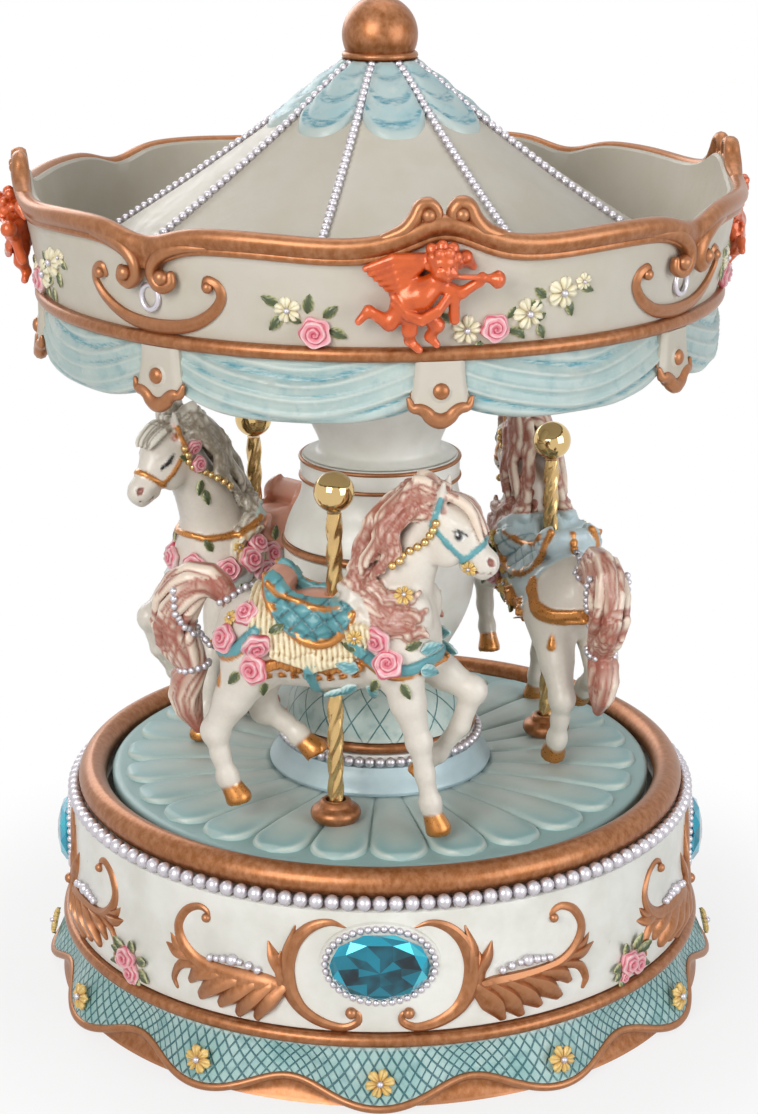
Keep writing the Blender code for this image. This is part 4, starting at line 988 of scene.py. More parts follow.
def bouquet():
    """Two roses, a bud and a fan of leaves."""
    shape = Shape()
    for angle, x, y, size in ((150, -2.6, 0.6, 1), (95, -0.6, 2.6, 0.9), (48, 2, 2, 1),
            (10, 3, 0.2, 1.05), (-40, 2.6, -1.8, 0.95), (-140, -2.4, -1.6, 0.9), (175, -3, -0.6, 0.8)):
        leaf(shape, 4.6 * size, 2.5 * size, matrix=turn(angle, x, y, 0.2, 1, 8), curl=0.1)
    rosette(shape, 3, matrix=turn(0, -0.9, 0.9, 0.3))
    rosette(shape, 2.7, matrix=turn(70, 1.9, -1.5, 0.3))
    rosette(shape, 1.7, matrix=turn(140, -2.9, -1.9, 0.2))
    return shape.mesh("bouquet")


def make_drum_flowers():
    bunch = bouquet()
    spots = []
    for k, azimuth in enumerate((45, 135, 225, 315)):
        az = azimuth + (3.4 if k % 2 == 0 else -3.4)
        spots.append((polar(drum_radius(23) + 0.1, az, 23.6), facing(az, -24 if k % 2 else 18, -3), 1.12))
    spread("drum_bouquets", bunch, spots, "flower", body="base")
    flower = bloom(Shape(), 3.7, 6).mesh("skirt_flower")
    spots = [(polar(90.05, a, 8), facing(a, 12 * (-1) ** k, 12), 1) for k, a in enumerate(range(0, 360, 30))]
    spread("skirt_flowers", flower, spots, "flower", body="base")


# ---- turntable and column ----
def make_turntable():
    low = TABLE_TOP - 3.4
    r = 72.5
    disc = [(2.3, low), (r - 0.3, low),
        (r, low + 0.4), (r, TABLE_TOP - 1), (r - 0.4, TABLE_TOP - 0.3), (r - 1.2, TABLE_TOP), (2.3, TABLE_TOP)]
    disc[-1:-1] = [(x, TABLE_TOP) for x in range(70, 3, -3)]
    ground = rgb(152, 186, 186)
    plate = lathe(disc, 208, colour=ground)
    place("turntable_disc", plate, "platform", "turntable")
    count = bpy.context.scene.music_box_sizes.petals
    wide = 360.0 / count * 0.498
    t, s = span(34, 19, -1, 1)
    inner, outer, cap = 29.5, 69.4, 10.0
    radius = inner + (outer - inner) * t ** 0.85 + 0 * s
    full = radius * radians(wide)
    bend = sqrt(clip(1 - clip((radius - (outer - cap)) / cap, 0, 1) ** 2.3, 0, 1))
    half = full * maximum(bend, 0.02)
    side = half * s
    edge = minimum((1 - np.abs(s)) * half, outer - radius)
    h = size("petal_height")
    rise = (0.25 + 0.75 * clip((radius - inner) / 22, 0, 1)) * h
    z = rise * (0.78 * clip(edge / 1.1, 0, 1) ** 0.5 + 0.34 * clip(edge / 5, 0, 1) ** 0.7)
    tip = clip((radius - 46) / 22, 0, 1) ** 1.6
    line = exp(-((edge - 2.6) / 1.6) ** 2) * clip((radius - 52) / 14, 0, 1) * 0.8
    pale, tinted, deep, white = (array(rgb(*c))
        for c in ((204, 212, 204), (160, 196, 196), (116, 174, 180), (226, 226, 214)))
    base = array(tuple(colours().platform))
    shape = Shape()
    colour = base * (1 - tip[..., None]) + tinted * tip[..., None]
    colour = colour * (1 - 0.55 * line[..., None]) + deep * 0.55 * line[..., None]
    # painted highlight: the raised edge of a petal goes towards white near its tip
    lip = exp(-((edge - 0.55) / 0.45) ** 2)[..., None] * clip((radius - 56) / 10, 0, 1)[..., None]
    colour = colour * (1 - 0.7 * lip) + white * 0.7 * lip
    middle = exp(-(s / 0.5) ** 2)[..., None] * (1 - tip[..., None]) * 0.5
    colour = colour * (1 - middle) + pale * middle
    top = xyz(side, -radius, TABLE_TOP + z)
    bottom = top.copy()
    bottom[..., 2] = TABLE_TOP - 0.3
    slab(shape, top, bottom, colour)
    petal = shape.mesh("petal")
    spots = [((0, 0, 0), (0, 0, radians(360.0 / count * (k + 0.32))), 1) for k in range(count)]
    spread("turntable_petals", petal, spots, "platform")


def column_part(name, outline, finish, node, base=0):
    """A turned part of the column, bored for the spindle. Its heights start at base."""
    outline = [(r, z + base) for r, z in outline]
    place(name, lathe([(2.3, outline[0][1]), *outline, (2.3, outline[-1][1])], 128), finish, node)


def curve(spots, count):
    """A smooth outline through spots of (radius, height)."""
    return smooth_line(spots, count).tolist()


def make_column():
    foot = [(29.6, 0.3), (29.9, 1.2), (29.5, 2.2), (28.3, 3.4), (27.3, 4.8), (26.9, 6.2), (26.6, 7.1)]
    column_part("pale_foot", foot, "foot", "column_foot", TABLE_TOP)
    bead_z = TABLE_TOP + 8.7
    column_part("pearl_seat", [(25.4, -1.5), (25.8, 0), (25.4, 1.5)], "white", (), bead_z)
    ring = [polar(26.4, a, bead_z) for a in linspace(0, 360, 120, endpoint=False)]
    grown("column_pearls", line_seed([(ring, True)]),
        bead_tree(), "silver", "column_pearl_ring", Radius=1.38, Pitch=2 * pi * 26.4 / 60.2, Rings=7)
    low, top = bead_z + 1.9, TABLE_TOP + 25.3
    column_part("bulb_gold_ring",
        [(25, 0), *arc(24.6, 1.3, 1.35, -75, 80, 9), (24.4, 2.6)], "gold", "column_gold_ring", low)
    base = low + 2.9
    dome = [(15.2 + 9.8 * cos(t) ** 0.85, (top - base) * sin(t)) for t in linspace(0, pi / 2, 20)]
    column_part("lattice_bulb", dome, "bulb", "column_bulb", base)
    ring_z = TABLE_TOP + 62.1
    vase = curve([(15.2, 0), (16, 2.4), (18.6, 8.2), (21.8, 14), (24.3, 20.5), (25.2, 27), (25.4, 33.2)], 26)
    neck = curve([(25.3, 1.4), (25, 3.2), (24.2, 5.8), (22.9, 8.6), (21.5, 11.3), (20.7, 14.2), (20.5, 17)], 20)
    outer = [(r, z + top + 0.3 - ring_z) for r, z in vase] + [(25.4, -1.4), (24.5, -1.1), (24.5, 1.1)] + neck
    column_part("white_vase", outer, "white", "column_vase", ring_z)
    ring = [(24.9, ring_z - 1.05), *arc(25.05, ring_z, 1.1, -75, 75, 9), (24.9, ring_z + 1.05)]
    place("shoulder_gold_ring", lathe(ring, 128), "gold", "column_shoulder_ring")
    drum_z = TABLE_TOP + 79.5
    drum = [(20.6, 0), (20.9, 0.5), (20.95, 3), (20.8, 5.4), (20.4, 6)]
    column_part("white_neck_band", drum, "white", "column_drum", drum_z)
    for name, up in (("lower_neck_line", 0.3), ("upper_neck_line", 5.3)):
        place(name, lathe(arc(20.85, drum_z + up, 0.55, -100, 260, 12)[:-1], 128), "gold")
    cone_z = drum_z + 6.3
    room = box("canopy_ceiling")[0].z - 0.3 - cone_z
    cone = curve([(20, 0), (17.2, 0.5),
        (15.9, 1.6), (16.2, 4), (18, 8), (20.4, 13), (23.6, 20), (26.6, 27), (29.2, 32.4)], 30)
    column_part("white_cone", [q for q in cone if q[1] < room] + [(29.2, room)], "white", "column_cone", cone_z)


# ---- canopy ----
def nearest(azimuth, centres):
    """Degrees to the nearest of the centres."""
    return min(abs((azimuth - c + 180) % 360 - 180) for c in centres)


def make_swags():
    """Draped swags between the tabs, folded into hanging arcs."""
    steps, rows = 512, 30
    azimuth = degrees(around(steps))[:, None]
    u = np.abs(((azimuth - TAB_PHASE) % 45) / 22.5 - 1)
    s = linspace(0, 1, rows)[None, :]
    top = BAND_Z - 1.7
    fall = (14.7 - 6.4 * u ** 3.2)
    phase = s * fall / 14.7 + 0.62 * u ** 1.8
    drift = 0.5 * sin(radians(azimuth * 3)) + 0.4 * sin(radians(azimuth * 17 + 40))
    fold = sin(2 * pi * (3.9 * phase ** 1.25 + 0.22 * drift)) * (0.75
        + 0.35 * sin(7 * phase + drift)) + 0.3 * sin(2 * pi * 8.3 * phase + drift)
    calm = clip((1 - u) * 5, 0.15, 1) * sin(pi * clip(s, 0.02, 0.98)) ** 0.4
    out = 84.9 + 1.5 * sin(pi * s * 0.8) * (1 - u ** 4) + size("fold_depth") * fold * calm
    out = out - 0.9 * clip((s - 0.9) / 0.1, 0, 1) ** 2
    z = top - fall * s
    stain = clip(-fold * 0.75 - 0.1, 0, 1) * clip((1 - u) * 3.5, 0, 1) * clip(s * 8, 0, 1)
    inner_z = z[:, [-1, 0]]
    r = concatenate([out, np.full((steps, 2), 81.4)], 1)
    z = concatenate([z, inner_z], 1)
    shine = concatenate([stain, zeros((steps, 2))], 1)
    faces, corners = net(steps, rows + 2, True, True)
    shape = Shape().add(on_ring(r, azimuth, z), faces, (1, 1, 1), shine.ravel(), corners[:, :, ::-1])
    place("draped_swags", shape, "swag", "canopy_valance", sharp=60)


def make_tabs():
    """White tabs with a gold lip and a gold button between the swags."""
    white, gold = Shape(), Shape()
    lip = [(-7.2, 177.9, 0.6), (-6.3, 176, 1.2), (-4.6, 175.7, 1.5), (-3.2, 174.9, 1.6), (-2, 173.6, 1.8), (0,
        172.8, 2), (2, 173.6, 1.8), (3.2, 174.9, 1.6), (4.6, 175.7, 1.5), (6.3, 176, 1.2), (7.2, 177.9, 0.6)]
    for azimuth in TABS:
        s, t = 2 * linspace(0, 1, 17)[:, None] - 1, linspace(0, 1, 12)[None, :]
        half = 5.6 + 1.3 * t ** 2
        low = 177.0 - 4.2 * exp(-(s / 0.42) ** 2)
        z = (BAND_Z - 1.5) * (1 - t) + low * t
        out = 0.2 + 1.0 * clip((1 - np.abs(s)) * 4, 0, 1) ** 0.5 + 0.35 * t ** 2
        slab(white, *(wall_point(half * s, z, o, 85.9, azimuth) for o in (out, -1.6)), (1, 1, 1))
        scroll_skin(gold, lip, 86.6, azimuth, 0.95, 40, lift=0.3)
        scroll_skin(gold, [(x * 0.86, z + 1, w) for x, z, w in lip], 85.4, azimuth, 0.9, 30)
        face = facing(azimuth, 0, 4)
        for radius, out_by, flat, to in ((2.9, 1, 0.30, white), (1.95, 1.6, 0.62, gold)):
            ball(to, polar(85.9 + out_by, azimuth, 179.7),
                radius, (1, 1, 1), stretch=(1, 1, flat), rows=10, cols=18, matrix=face)
    place("swag_tabs", white, "ivory")
    place("tab_lips_and_buttons", gold, "gold")


def rail_top(azimuth):
    """Height of the wavy rail, high at the peaks and low between them."""
    return (214.9 + 4.4 * exp(-(nearest(azimuth, PEAKS) / 6.2) ** 2) - 3.2
        * exp(-(nearest(azimuth, TROUGHS) / 6) ** 2) - 0.9 * exp(-((nearest(azimuth, PEAKS) - 15) / 9) ** 2))


def crown_radius(z):
    """The crown flares outwards above its band."""
    share = clip((z - BAND_Z - 1.5) / 25.2, 0, 1)
    return 85.6 + 4.8 * share ** 0.85


def make_crown():
    band = arc(86, BAND_Z, 1.75, -110, 250, 22)[:-1]
    place("gold_band", lathe(band, 256), "gold", "canopy_band")

    def wall(azimuth):
        high = rail_top(azimuth) - 0.4
        zs = linspace(BAND_Z + 1.2, high, 9)
        outer = [(float(crown_radius(z)), z) for z in zs]
        return outer[:-1] + [(outer[-1][0] - 0.3, high),
            (outer[-1][0] - 2.3, high + 0.1)] + [(r - 3, z - 0.5) for r, z in reversed(outer)]

    place("crown_wall", sweep(wall, 360), "ivory", "canopy_crown")

    profile = [(-1.4, -5.2), (0.2, -5.4), (0.9, -5.1), (1.1, -4.5), (0.95, -3.9), (1.5, -3.2),
        (2.05, -2.3), (2.25, -1.3), (2, -0.3), (1.3, 0.4), (0.3, 0.7), (-0.8, 0.6), (-1.4, 0), (-1.5, -1.8)]

    def rail(azimuth):
        high = rail_top(azimuth)
        deep = 1.0 + 0.28 * exp(-(nearest(azimuth, TROUGHS) / 4) ** 2)
        thin = 0.35 * exp(-(nearest(azimuth, TROUGHS) / 2.2) ** 2)
        return [(90.2 + (r - thin * max(r, 0)), high + z * deep) for r, z in profile]

    gold = sweep(rail, 480)
    at = 90.3
    for azimuth in PEAKS:
        for side in (-1, 1):
            curl = [(13.5, 214.6, 1.3), (9, 216.4, 1.8), (6.7, 219, 1.8), (5.4, 221.7, 1.6),
                (3.3, 222.3, 1.5), (1.7, 220.4, 1.4), (2.2, 218.2, 1.2), (4, 217.7, 1.1), (4.9, 219, 0.9)]
            scroll_skin(gold, [(side * x, z, w) for x, z, w in curl], at, azimuth, 1.25, 40, 0.06, 12)
            ball(gold, polar(at + 0.9, azimuth + side * 2.35, 219.8), 1.7)
        ball(gold, polar(at - 0.6, azimuth, 217.2), 1.7, stretch=(1, 1, 1.6))
    for azimuth in TROUGHS:
        for side in (-1, 1):
            curl = [(17, 211.2, 1), (11, 210.9, 1.7), (6.2, 209.4, 2),
                (3, 206.6, 1.9), (2.5, 203.4, 1.7), (4.6, 201.2, 1.5), (7.3, 202.1, 1.2), (7.4, 204.2, 1)]
            scroll_skin(gold, [(side * x, z, w) for x, z, w in curl], at, azimuth, 1.15, 40, 0.08, 12)
            ball(gold, polar(at + 1, azimuth + side * 3.4, 203.6), 1.8)
    place("crown_scroll_rail", gold, "gold", "crown_rail", sharp=50)


def make_crown_ornaments():
    smile, rings = Shape(), Shape()
    half = [(0, 191.3, 1.75), (9, 192.4, 1.6),
        (15.4, 195.6, 1.4), (18.7, 199.4, 1.2), (18.3, 202.4, 1.1), (15.9, 203.5, 1), (15, 201.8, 0.9)]
    spots = [(-x, z, w) for x, z, w in reversed(half[1:])] + half
    for azimuth in TROUGHS:
        scroll_skin(smile, spots, lambda z: crown_radius(z) + 0.3, azimuth, 0.75, 72, 0.10)
        for side in (-1, 1):
            ball(smile, wall_point(side * 16, 202, 0.9, crown_radius(202), azimuth), 1.35)
        a = around(36)
        path = wall_point(2.5 * cos(a) - 0.8, 198.0 + 2.9 * sin(a), 0.4, crown_radius(198), azimuth)
        cord_skin(rings, path, 0.72, path * (1, 1, 0), ring=True)
    place("crown_smiles", smile, "gold")
    place("crown_rings", rings, "silver")
    rose, white, greens = [], [], []
    for azimuth in PEAKS:
        def at(x, z, out=0.15):
            here = azimuth + degrees(x / 88)
            return polar(float(crown_radius(z)) + out, here, z), here
        for x, z, size, roll, to in ((12.4, 193.6, 1, 20, rose),
                (-28.4, 193, 1.12, 80, rose), (5.8, 193.4, 1, 10, white), (20.4, 196.4, 1.1, 40, white),
                (28.6, 200.6, 1.1, 75, white), (-34.6, 198, 0.9, 30, white), (34, 202.6, 0.6, 20, white)):
            spot, here = at(x, z)
            to.append((spot, facing(here, roll, -6), size))
        for x, z, roll, size in ((3.2, 195.4, 150, 1), (9.4, 190.6, -100, 1), (16, 192.6, -10, 0.9),
                (15.6, 195.4, 60, 0.8), (17.6, 193.2, -50, 0.9), (23.6, 193.4, -70, 0.9), (24, 198, 170, 1),
                (24.6, 199.6, 140, 1), (25, 196, -150, 0.9), (30.6, 198.6, -75, 1), (33.6, 201.4, -20, 0.9),
                (-25.4, 193.6, -22, 1.1), (-26.6, 196.4, 40, 1.1), (-30.2, 197.2, 80, 1.2), (-31.6,
                195, 150, 1), (-36.6, 199, 155, 1.1), (-36.2, 196.4, -130, 1.1), (-29, 190.6, -100, 0.7)):
            spot, here = at(x, z)
            greens.append((spot, facing(here, roll, -6), size))
    spread("crown_roses", rosette(Shape(), 3.3), rose, "flower")
    pale = [rgb(252, 248, 232), rgb(244, 236, 204), rgb(196, 180, 126)]
    spread("crown_blooms", bloom(Shape(), 3.5, 5, pale), white, "flower")
    spread("crown_leaves", leaf(Shape(), 4, 2.3, curl=0.12), greens, "flower")


def roof_z(r):
    """Height of the roof, swept up at its middle and hollow halfway."""
    return (247.9 - 0.678 * r + 1.1 * exp(-((r - 12) / 9) ** 2) - 1.3 * exp(-((r - 48) / 26) ** 2))


def make_roof():
    outer = [(r, roof_z(r)) for r in linspace(6, 81.2, 40)]
    low = BAND_Z + 1.8
    outline = [(2.3, roof_z(6))] + outer + [(81.3, low),
        (81, low), (81, 179.4), (78.4, 179.4), (78.4, low - 3), (2.3, 238)]
    place("ivory_roof", lathe(outline, 192), "ivory", "canopy_roof")
    strings = []
    for k in range(8):
        azimuth = -13.5 + 45 * k
        strings.append(([tuple(polar(r, azimuth, roof_z(r) + 0.85)) for r in linspace(8.6, 80.6, 60)], False))
    grown("roof_pearls", line_seed(strings),
        bead_tree(), "silver", Radius=size("roof_pearl"), Pitch=2.05, Rings=7)
    petal = Shape()
    s, t = 2 * linspace(0, 1, 21)[:, None] - 1, linspace(0, 1, 20)[None, :]
    reach = 28.5 - 6.5 * np.abs(s) ** 2.6
    r = 8.0 + (reach - 8) * t
    edge = minimum((1 - np.abs(s)) * 21 * radians(1) * r, (1 - t) * (reach - 8))
    rise = 1.35 * clip(edge / 1.6,
        0, 1) ** 0.5 + 0.25 * sin(2 * pi * (t * 3.2 + 0.35 * s ** 2)) * clip(edge / 2, 0, 1)
    deep = clip(sin(2 * pi * (t * 3.2 + 0.35 * s ** 2) + 2.6),
        0, 1) * clip(edge / 1.5, 0, 1) * (0.35 + 0.65 * t)
    z = np.vectorize(roof_z)(r)
    top = on_ring(r + 0.4 * rise, s * 21, z + rise)
    slab(petal, top, on_ring(r, s * 21, z - 0.5), (1, 1, 1), deep)
    spots = [((0, 0, 0), (0, 0, radians(a)), 1) for a in TABS]
    spread("roof_petals", petal, spots, "roof_petal")
    base = roof_z(6)
    neck = [(2.3, base + 0.1), (9.6, base + 0.1)] + arc(8.6, base + 0.9, 0.95, -60, 85, 8) \
        + [(6, base + 2), (2.3, base + 2)]
    place("finial_ring", lathe(neck, 64), "gold", "finial_neck")
    low, high = box("finial_ball")
    centre = high.z - 9.5
    globe = [(2.3, centre), (2.3, centre - 9.1), *arc(0, centre, 9.5, -71.62, 90, 30)]
    place("finial_globe", lathe(globe, 64), "gold", "finial_ball")


# ---- poles ----
def make_poles():
    for side, azimuth in HORSES:
        low, high = box("pole_" + side)
        spot = polar(48, azimuth)
        seed = line_seed([([(spot.x, spot.y, low.z), (spot.x, spot.y, high.z)], False)])
        body = "horse_" + side + "_body"
        grown("twisted_pole_" + side, seed, pole_tree(), "brass", "pole_" + side,
            body=body, Radius=2.12, Turns=bpy.context.scene.music_box_sizes.pole_twist, sharp=60)
        low, high = box("ball_" + side)
        place("brass_ball_" + side,
            ball(Shape(), (low + high) / 2, 5.05, rows=25, cols=40), "ball", "ball_" + side, body=body)
        low = box("pole_collar_" + side)[0].z
        outline = [(2.6, low), (4, low), (5.6, low + 0.5)] + arc(4.5, low + 2.2, 1.95, -50, 60, 10) \
            + [(4.6, low + 4.3), (4.3, low + 4.6), (3.9, low + 5.5), (3.3, low + 5.8), (2.6, low + 5.8)]
        ring = lathe(outline, 48)
        place("gold_collar_" + side,
            Shape().add(ring.points[0] + array(spot), ring.faces), "gold", "pole_collar_" + side)


# ---- modelling in wax ----
def limb(a, b, ra, rb, squeeze=1):
    """A tapered round bar. squeeze above 1 makes it thinner across."""
    s = array((1, squeeze, 1))
    a, b = array(a, float) * s, array(b, float) * s
    way = b - a

    def reach(p, now):
        p = p * s
        t = clip((p - a) @ way / max(way @ way, 1e-9), 0, 1)
        return np.linalg.norm(p - a - t[..., None] * way, axis=-1) - ra - (rb - ra) * t

    return reach, minimum(a - ra, b - rb) / s, maximum(a + ra, b + rb) / s


def lump(centre, size, pitch=0):
    """A stretched ball, pitch turns it nose down."""
    c, size = array(centre, float), array(size, float)
    t = radians(pitch)
    turned = array(((cos(t), 0, sin(t)), (0, 1, 0), (-sin(t), 0, cos(t))))

    def reach(p, now):
        q = (p - c) @ turned
        k = maximum(np.linalg.norm(q / size, axis=-1), 1e-3)
        return k * (k - 1) / (np.linalg.norm(q / size ** 2, axis=-1) + 1e-6)

    return reach, c - size.max(), c + size.max()


def lock(points, thick, thin, count=9):
    """A lock of hair through the points, thick in its middle and thin at its tip."""
    line = smooth_line(points, count)
    t = linspace(0, 1, count)
    radius = thin + (thick - thin) * clip(sin(pi * (0.18 + 0.80 * t)), 0, 1) ** 0.8
    bars = [limb(line[i], line[i + 1], radius[i], radius[i + 1]) for i in range(count - 1)]

    def reach(p, now):
        best = bars[0][0](p, now)
        for bar in bars[1:]:
            best = minimum(best, bar[0](p, now))
        return best

    return reach, np.min([b[1] for b in bars], 0), np.max([b[2] for b in bars], 0)


def from_line(p, line):
    """How far the points lie from a line of (x, z) spots, seen from the side."""
    best = np.full(p.shape[:-1], 99.0)
    q = p[..., [0, 2]]
    for a, b in zip(array(line[:-1], float), array(line[1:], float)):
        t = clip((q - a) @ (b - a) / ((b - a) @ (b - a)), 0, 1)
        best = minimum(best, np.linalg.norm(q - a - t[..., None] * (b - a), axis=-1))
    return best


def side_box(line, more):
    """Box round spots (x, z), as wide across as the figure."""
    (x1, z1), (x2, z2) = np.min(line, 0) - more, np.max(line, 0) + more
    return array((x1, -99.0, z1)), array((x2, 99.0, z2))


def strip(line, half):
    """A band along a line of (x, z) spots, seen from the side."""
    return (lambda p: from_line(p, line) - half), *side_box(line, half)


def field_of(outline):
    """Inside of a closed outline of (x, z) spots, seen from the side, is below nought."""
    outline = [tuple(q) for q in smooth_line(list(outline) + [outline[0]], 6 * len(outline))]

    def reach(p):
        x, z = p[..., 0], p[..., 2]
        inside = zeros(x.shape, bool)
        for (x1, z1), (x2, z2) in zip(outline[:-1], outline[1:]):
            if z1 != z2:
                inside ^= ((z1 > z) != (z2 > z)) & (x < (x2 - x1) * (z - z1) / (z2 - z1) + x1)
        return np.where(inside, -1, 1) * from_line(p, outline)

    return reach, *side_box(outline, 0)


def cloth(area, thick):
    """A skin of even thickness over what is there, inside the area."""
    mask, low, high = area

    def reach(p, now):
        return np.where(now < 3, maximum(now - (thick(p) if callable(thick) else thick), mask(p)), now)

    return reach, low, high


def soft_least(a, b, k):
    """The lesser of two fields, rounded where they come within k of each other."""
    h = clip(0.5 + 0.5 * (b - a) / k, 0, 1)
    return b + (a - b) * h - k * h * (1 - h)


FAR = 5.0       # empty field, in millimetres from a skin
ROOM = 2.2      # field worked out round a part
BLEND = 0.34    # width over which one colour gives way to the next
# the dark parting is deep hair paint together with painted shade in the creases between locks
CREASE = 0.62   # depth of the dark parting between locks


class Wax:
    """A figure modelled part by part, in millimetres, then skinned where the wax ends."""

    def __init__(self, low, high, step):
        self.low, self.step, self.parts = array(low, float), step, []
        self.axes = [np.arange(a, b, step) for a, b in zip(low, high)]
        self.field = np.full([len(a) for a in self.axes], FAR)

    def press(self, part, colour=(1, 1, 1), melt=0.6, cut=False, both=False, shine=0, hair=None):
        """Adds a part, or takes it away where cut is set. both makes it on either side."""
        reach, low, high = part
        if both:
            one = reach
            reach = lambda p, now: one(p * (1, 0, 1) + np.abs(p) * (0, 1, 0), now)
            wide = max(abs(low[1]), abs(high[1]))
            low, high = array((low[0], -wide, low[2])), array((high[0], wide, high[2]))
        pad = ROOM + melt
        ends = [np.searchsorted(a, (low[i] - pad, high[i] + pad)) for i, a in enumerate(self.axes)]
        w = tuple(slice(int(a), int(b)) for a, b in ends)
        p = stack(np.meshgrid(*[a[s] for a, s in zip(self.axes, w)], indexing="ij"), -1)
        self.field[w] = self.merge(self.field[w], reach(p, self.field[w]), melt, cut)
        self.parts.append((reach, low - pad, high + pad, colour, melt, cut, shine, hair))
        return self

    @staticmethod
    def merge(now, new, melt, cut):
        return -soft_least(-now, new, melt) if cut else soft_least(now, new, melt)

    def paint(self, points):
        """Colour and shine at points on the skin, the later parts over the earlier ones."""
        n = len(points)
        now, crease = np.full(n, FAR), np.full(n, FAR)
        colours, deeps, shines = np.ones((n, 3)), zeros((n, 3)), zeros(n)
        hairy = zeros(n)
        for reach, low, high, colour, melt, cut, shine, hair in self.parts:
            at = np.flatnonzero(np.all((points > low) & (points < high), 1))
            p = points[at]
            if not len(p):
                continue
            before, new = now[at], reach(p, now[at])
            share = clip(0.5 + ((-before - new) if cut else (before - new)) / BLEND, 0, 1)
            now[at] = self.merge(before, new, melt, cut)
            if colour is None:
                continue
            shade_of = np.asarray(colour(p) if callable(colour) else colour, float)
            colours[at] += share[:, None] * (shade_of - colours[at])
            shines[at] += share * (shine - shines[at])
            hairy[at] += share * ((hair is not None) - hairy[at])
            if hair is not None:
                deeps[at] += share[:, None] * (array(hair) - deeps[at])
                crease[at] = minimum(crease[at], np.abs(before - new))
        # painted shade with deep hair paint: a lock goes to its deep colour in the creases where it meets
        # another part
        tone = hairy * clip(1 - crease / CREASE, 0, 1) ** 0.8
        return colours + tone[:, None] * (deeps - colours), shines

    def skin(self):
        """Closed skin of points and faces where the field crosses nought."""
        f = self.field
        corner = array([(i, j, k) for i in (0, 1) for j in (0, 1) for k in (0, 1)])
        n = array(f.shape) - 1
        below = sum((f[i:n[0] + i, j:n[1] + j, k:n[2] + k] < 0).astype(np.int8) for i, j, k in corner)
        cell = np.argwhere((below > 0) & (below < 8))
        number = np.full(n, -1)
        number[tuple(cell.T)] = np.arange(len(cell))
        value = stack([f[tuple((cell + c).T)] for c in corner], 1)
        total, hits = zeros((len(cell), 3)), zeros(len(cell))
        for a in range(8):
            for b in range(a + 1, 8):
                if np.abs(corner[a] - corner[b]).sum() == 1:
                    u, v = value[:, a], value[:, b]
                    on = (u < 0) != (v < 0)
                    t = np.where(on, u / np.where(on, u - v, 1), 0)
                    total += on[:, None] * (corner[a] + t[:, None] * (corner[b] - corner[a]))
                    hits += on
        points = self.low + self.step * (cell + total / hits[:, None])
        faces = []
        for axis in range(3):
            b, c = (axis + 1) % 3, (axis + 2) % 3
            ahead = np.roll(f, -1, axis)
            on = (f < 0) != (ahead < 0)
            spot = np.argwhere(np.pad(on[1:-1, 1:-1, 1:-1], 1))
            step_b, step_c = np.eye(3, dtype=int)[b], np.eye(3, dtype=int)[c]
            quad = stack([number[tuple((spot - o).T)] for o in (0 * step_b, step_b, step_b + step_c, step_c)],
                1)
            turned = f[tuple(spot.T)] < 0
            faces.append(np.where(turned[:, None], quad, quad[:, ::-1]))
        return points, concatenate(faces)

    def cord(self, line, radius, colour, shine=1, count=14, melt=0.25):
        """A round cord laid on both sides along (x, z) spots."""
        for side in (1, -1):
            spots = array([self.side_spot(x, z, side)[0] for x, z in smooth_line(line, count)])
            spots[:, 1] = np.convolve(np.pad(spots[:, 1], 2, "edge"), (0.12, 0.22, 0.32, 0.22, 0.12), "valid")
            self.press(lock(spots, radius, radius, count), colour, melt, shine=shine)

    def side_spot(self, x, z, side=-1):
        """Where the skin is met from one side at (x, z), and the way it faces."""
        i, k = (int(round((v - self.low[n]) / self.step)) for n, v in ((0, x), (2, z)))
        column = self.field[i, :, k]
        order = range(len(column)) if side < 0 else range(len(column) - 1, -1, -1)
        j = next((j for j in order if column[j] < 0), len(column) // 2)
        reach = 2
        way = array([self.field[i + reach, j, k] - self.field[i - reach, j, k], self.field[i, j + reach, k]
            - self.field[i, j - reach, k], self.field[i, j, k + reach] - self.field[i, j, k - reach]])
        y = self.low[1] + self.step * (j
            + side * clip(-column[j] / max(abs(column[j] - column[j + side]), 1e-6), 0, 1))
        return array((x, y, z)), way / (np.linalg.norm(way) + 1e-9)


# ---- horses ----
COAT, BLUSH, INK, CREAM_HAIR, MAUVE = rgb(226,
    219, 208), rgb(232, 196, 186), rgb(16, 12, 12), rgb(240, 222, 204), rgb(158, 84, 66)
GREY_HAIR, GREY_DEEP, TACK_TEAL, SALMON = rgb(234,
    230, 218), rgb(140, 128, 110), rgb(92, 158, 166), rgb(224, 160, 136)
FORE_DOWN = ((18, 104, 6.4),
    (20.2, 94.5, 4.6), (23, 84.6, 3), (24.6, 76, 2.5), (26, 68.6, 2.5), (26.9, 64.4, 2.6))
FORE_BENT = ((18, 104, 6.2),
    (26, 98.5, 4.6), (33.6, 94.2, 3.3), (30.6, 84.6, 2.5), (25, 76.6, 2.2), (21.2, 72.8, 2.4))
FORE_HIGH = ((18, 104, 6.2),
    (26.5, 101, 4.6), (34.5, 97.5, 3.3), (33.6, 89, 2.5), (31.6, 83, 2.3), (30, 79.6, 2.5))
HIND_BACK = ((-19, 102.5, 8.4),
    (-24.6, 92, 5), (-29.4, 82.8, 3.4), (-28.2, 76.6, 2.5), (-26.4, 70.6, 2.6), (-25.2, 67.6, 2.7))
HIND_UNDER = ((-18, 102, 8.2),
    (-22, 90, 5), (-20.4, 84.6, 3.5), (-15.2, 81.4, 2.6), (-11.6, 78.4, 2.5), (-9.4, 76.2, 2.7))
POSES = {"front": (FORE_DOWN, FORE_BENT, HIND_BACK, HIND_UNDER), "right": (FORE_DOWN,
    FORE_HIGH, HIND_UNDER, HIND_BACK), "left": (FORE_BENT, FORE_DOWN, HIND_BACK, HIND_UNDER)}
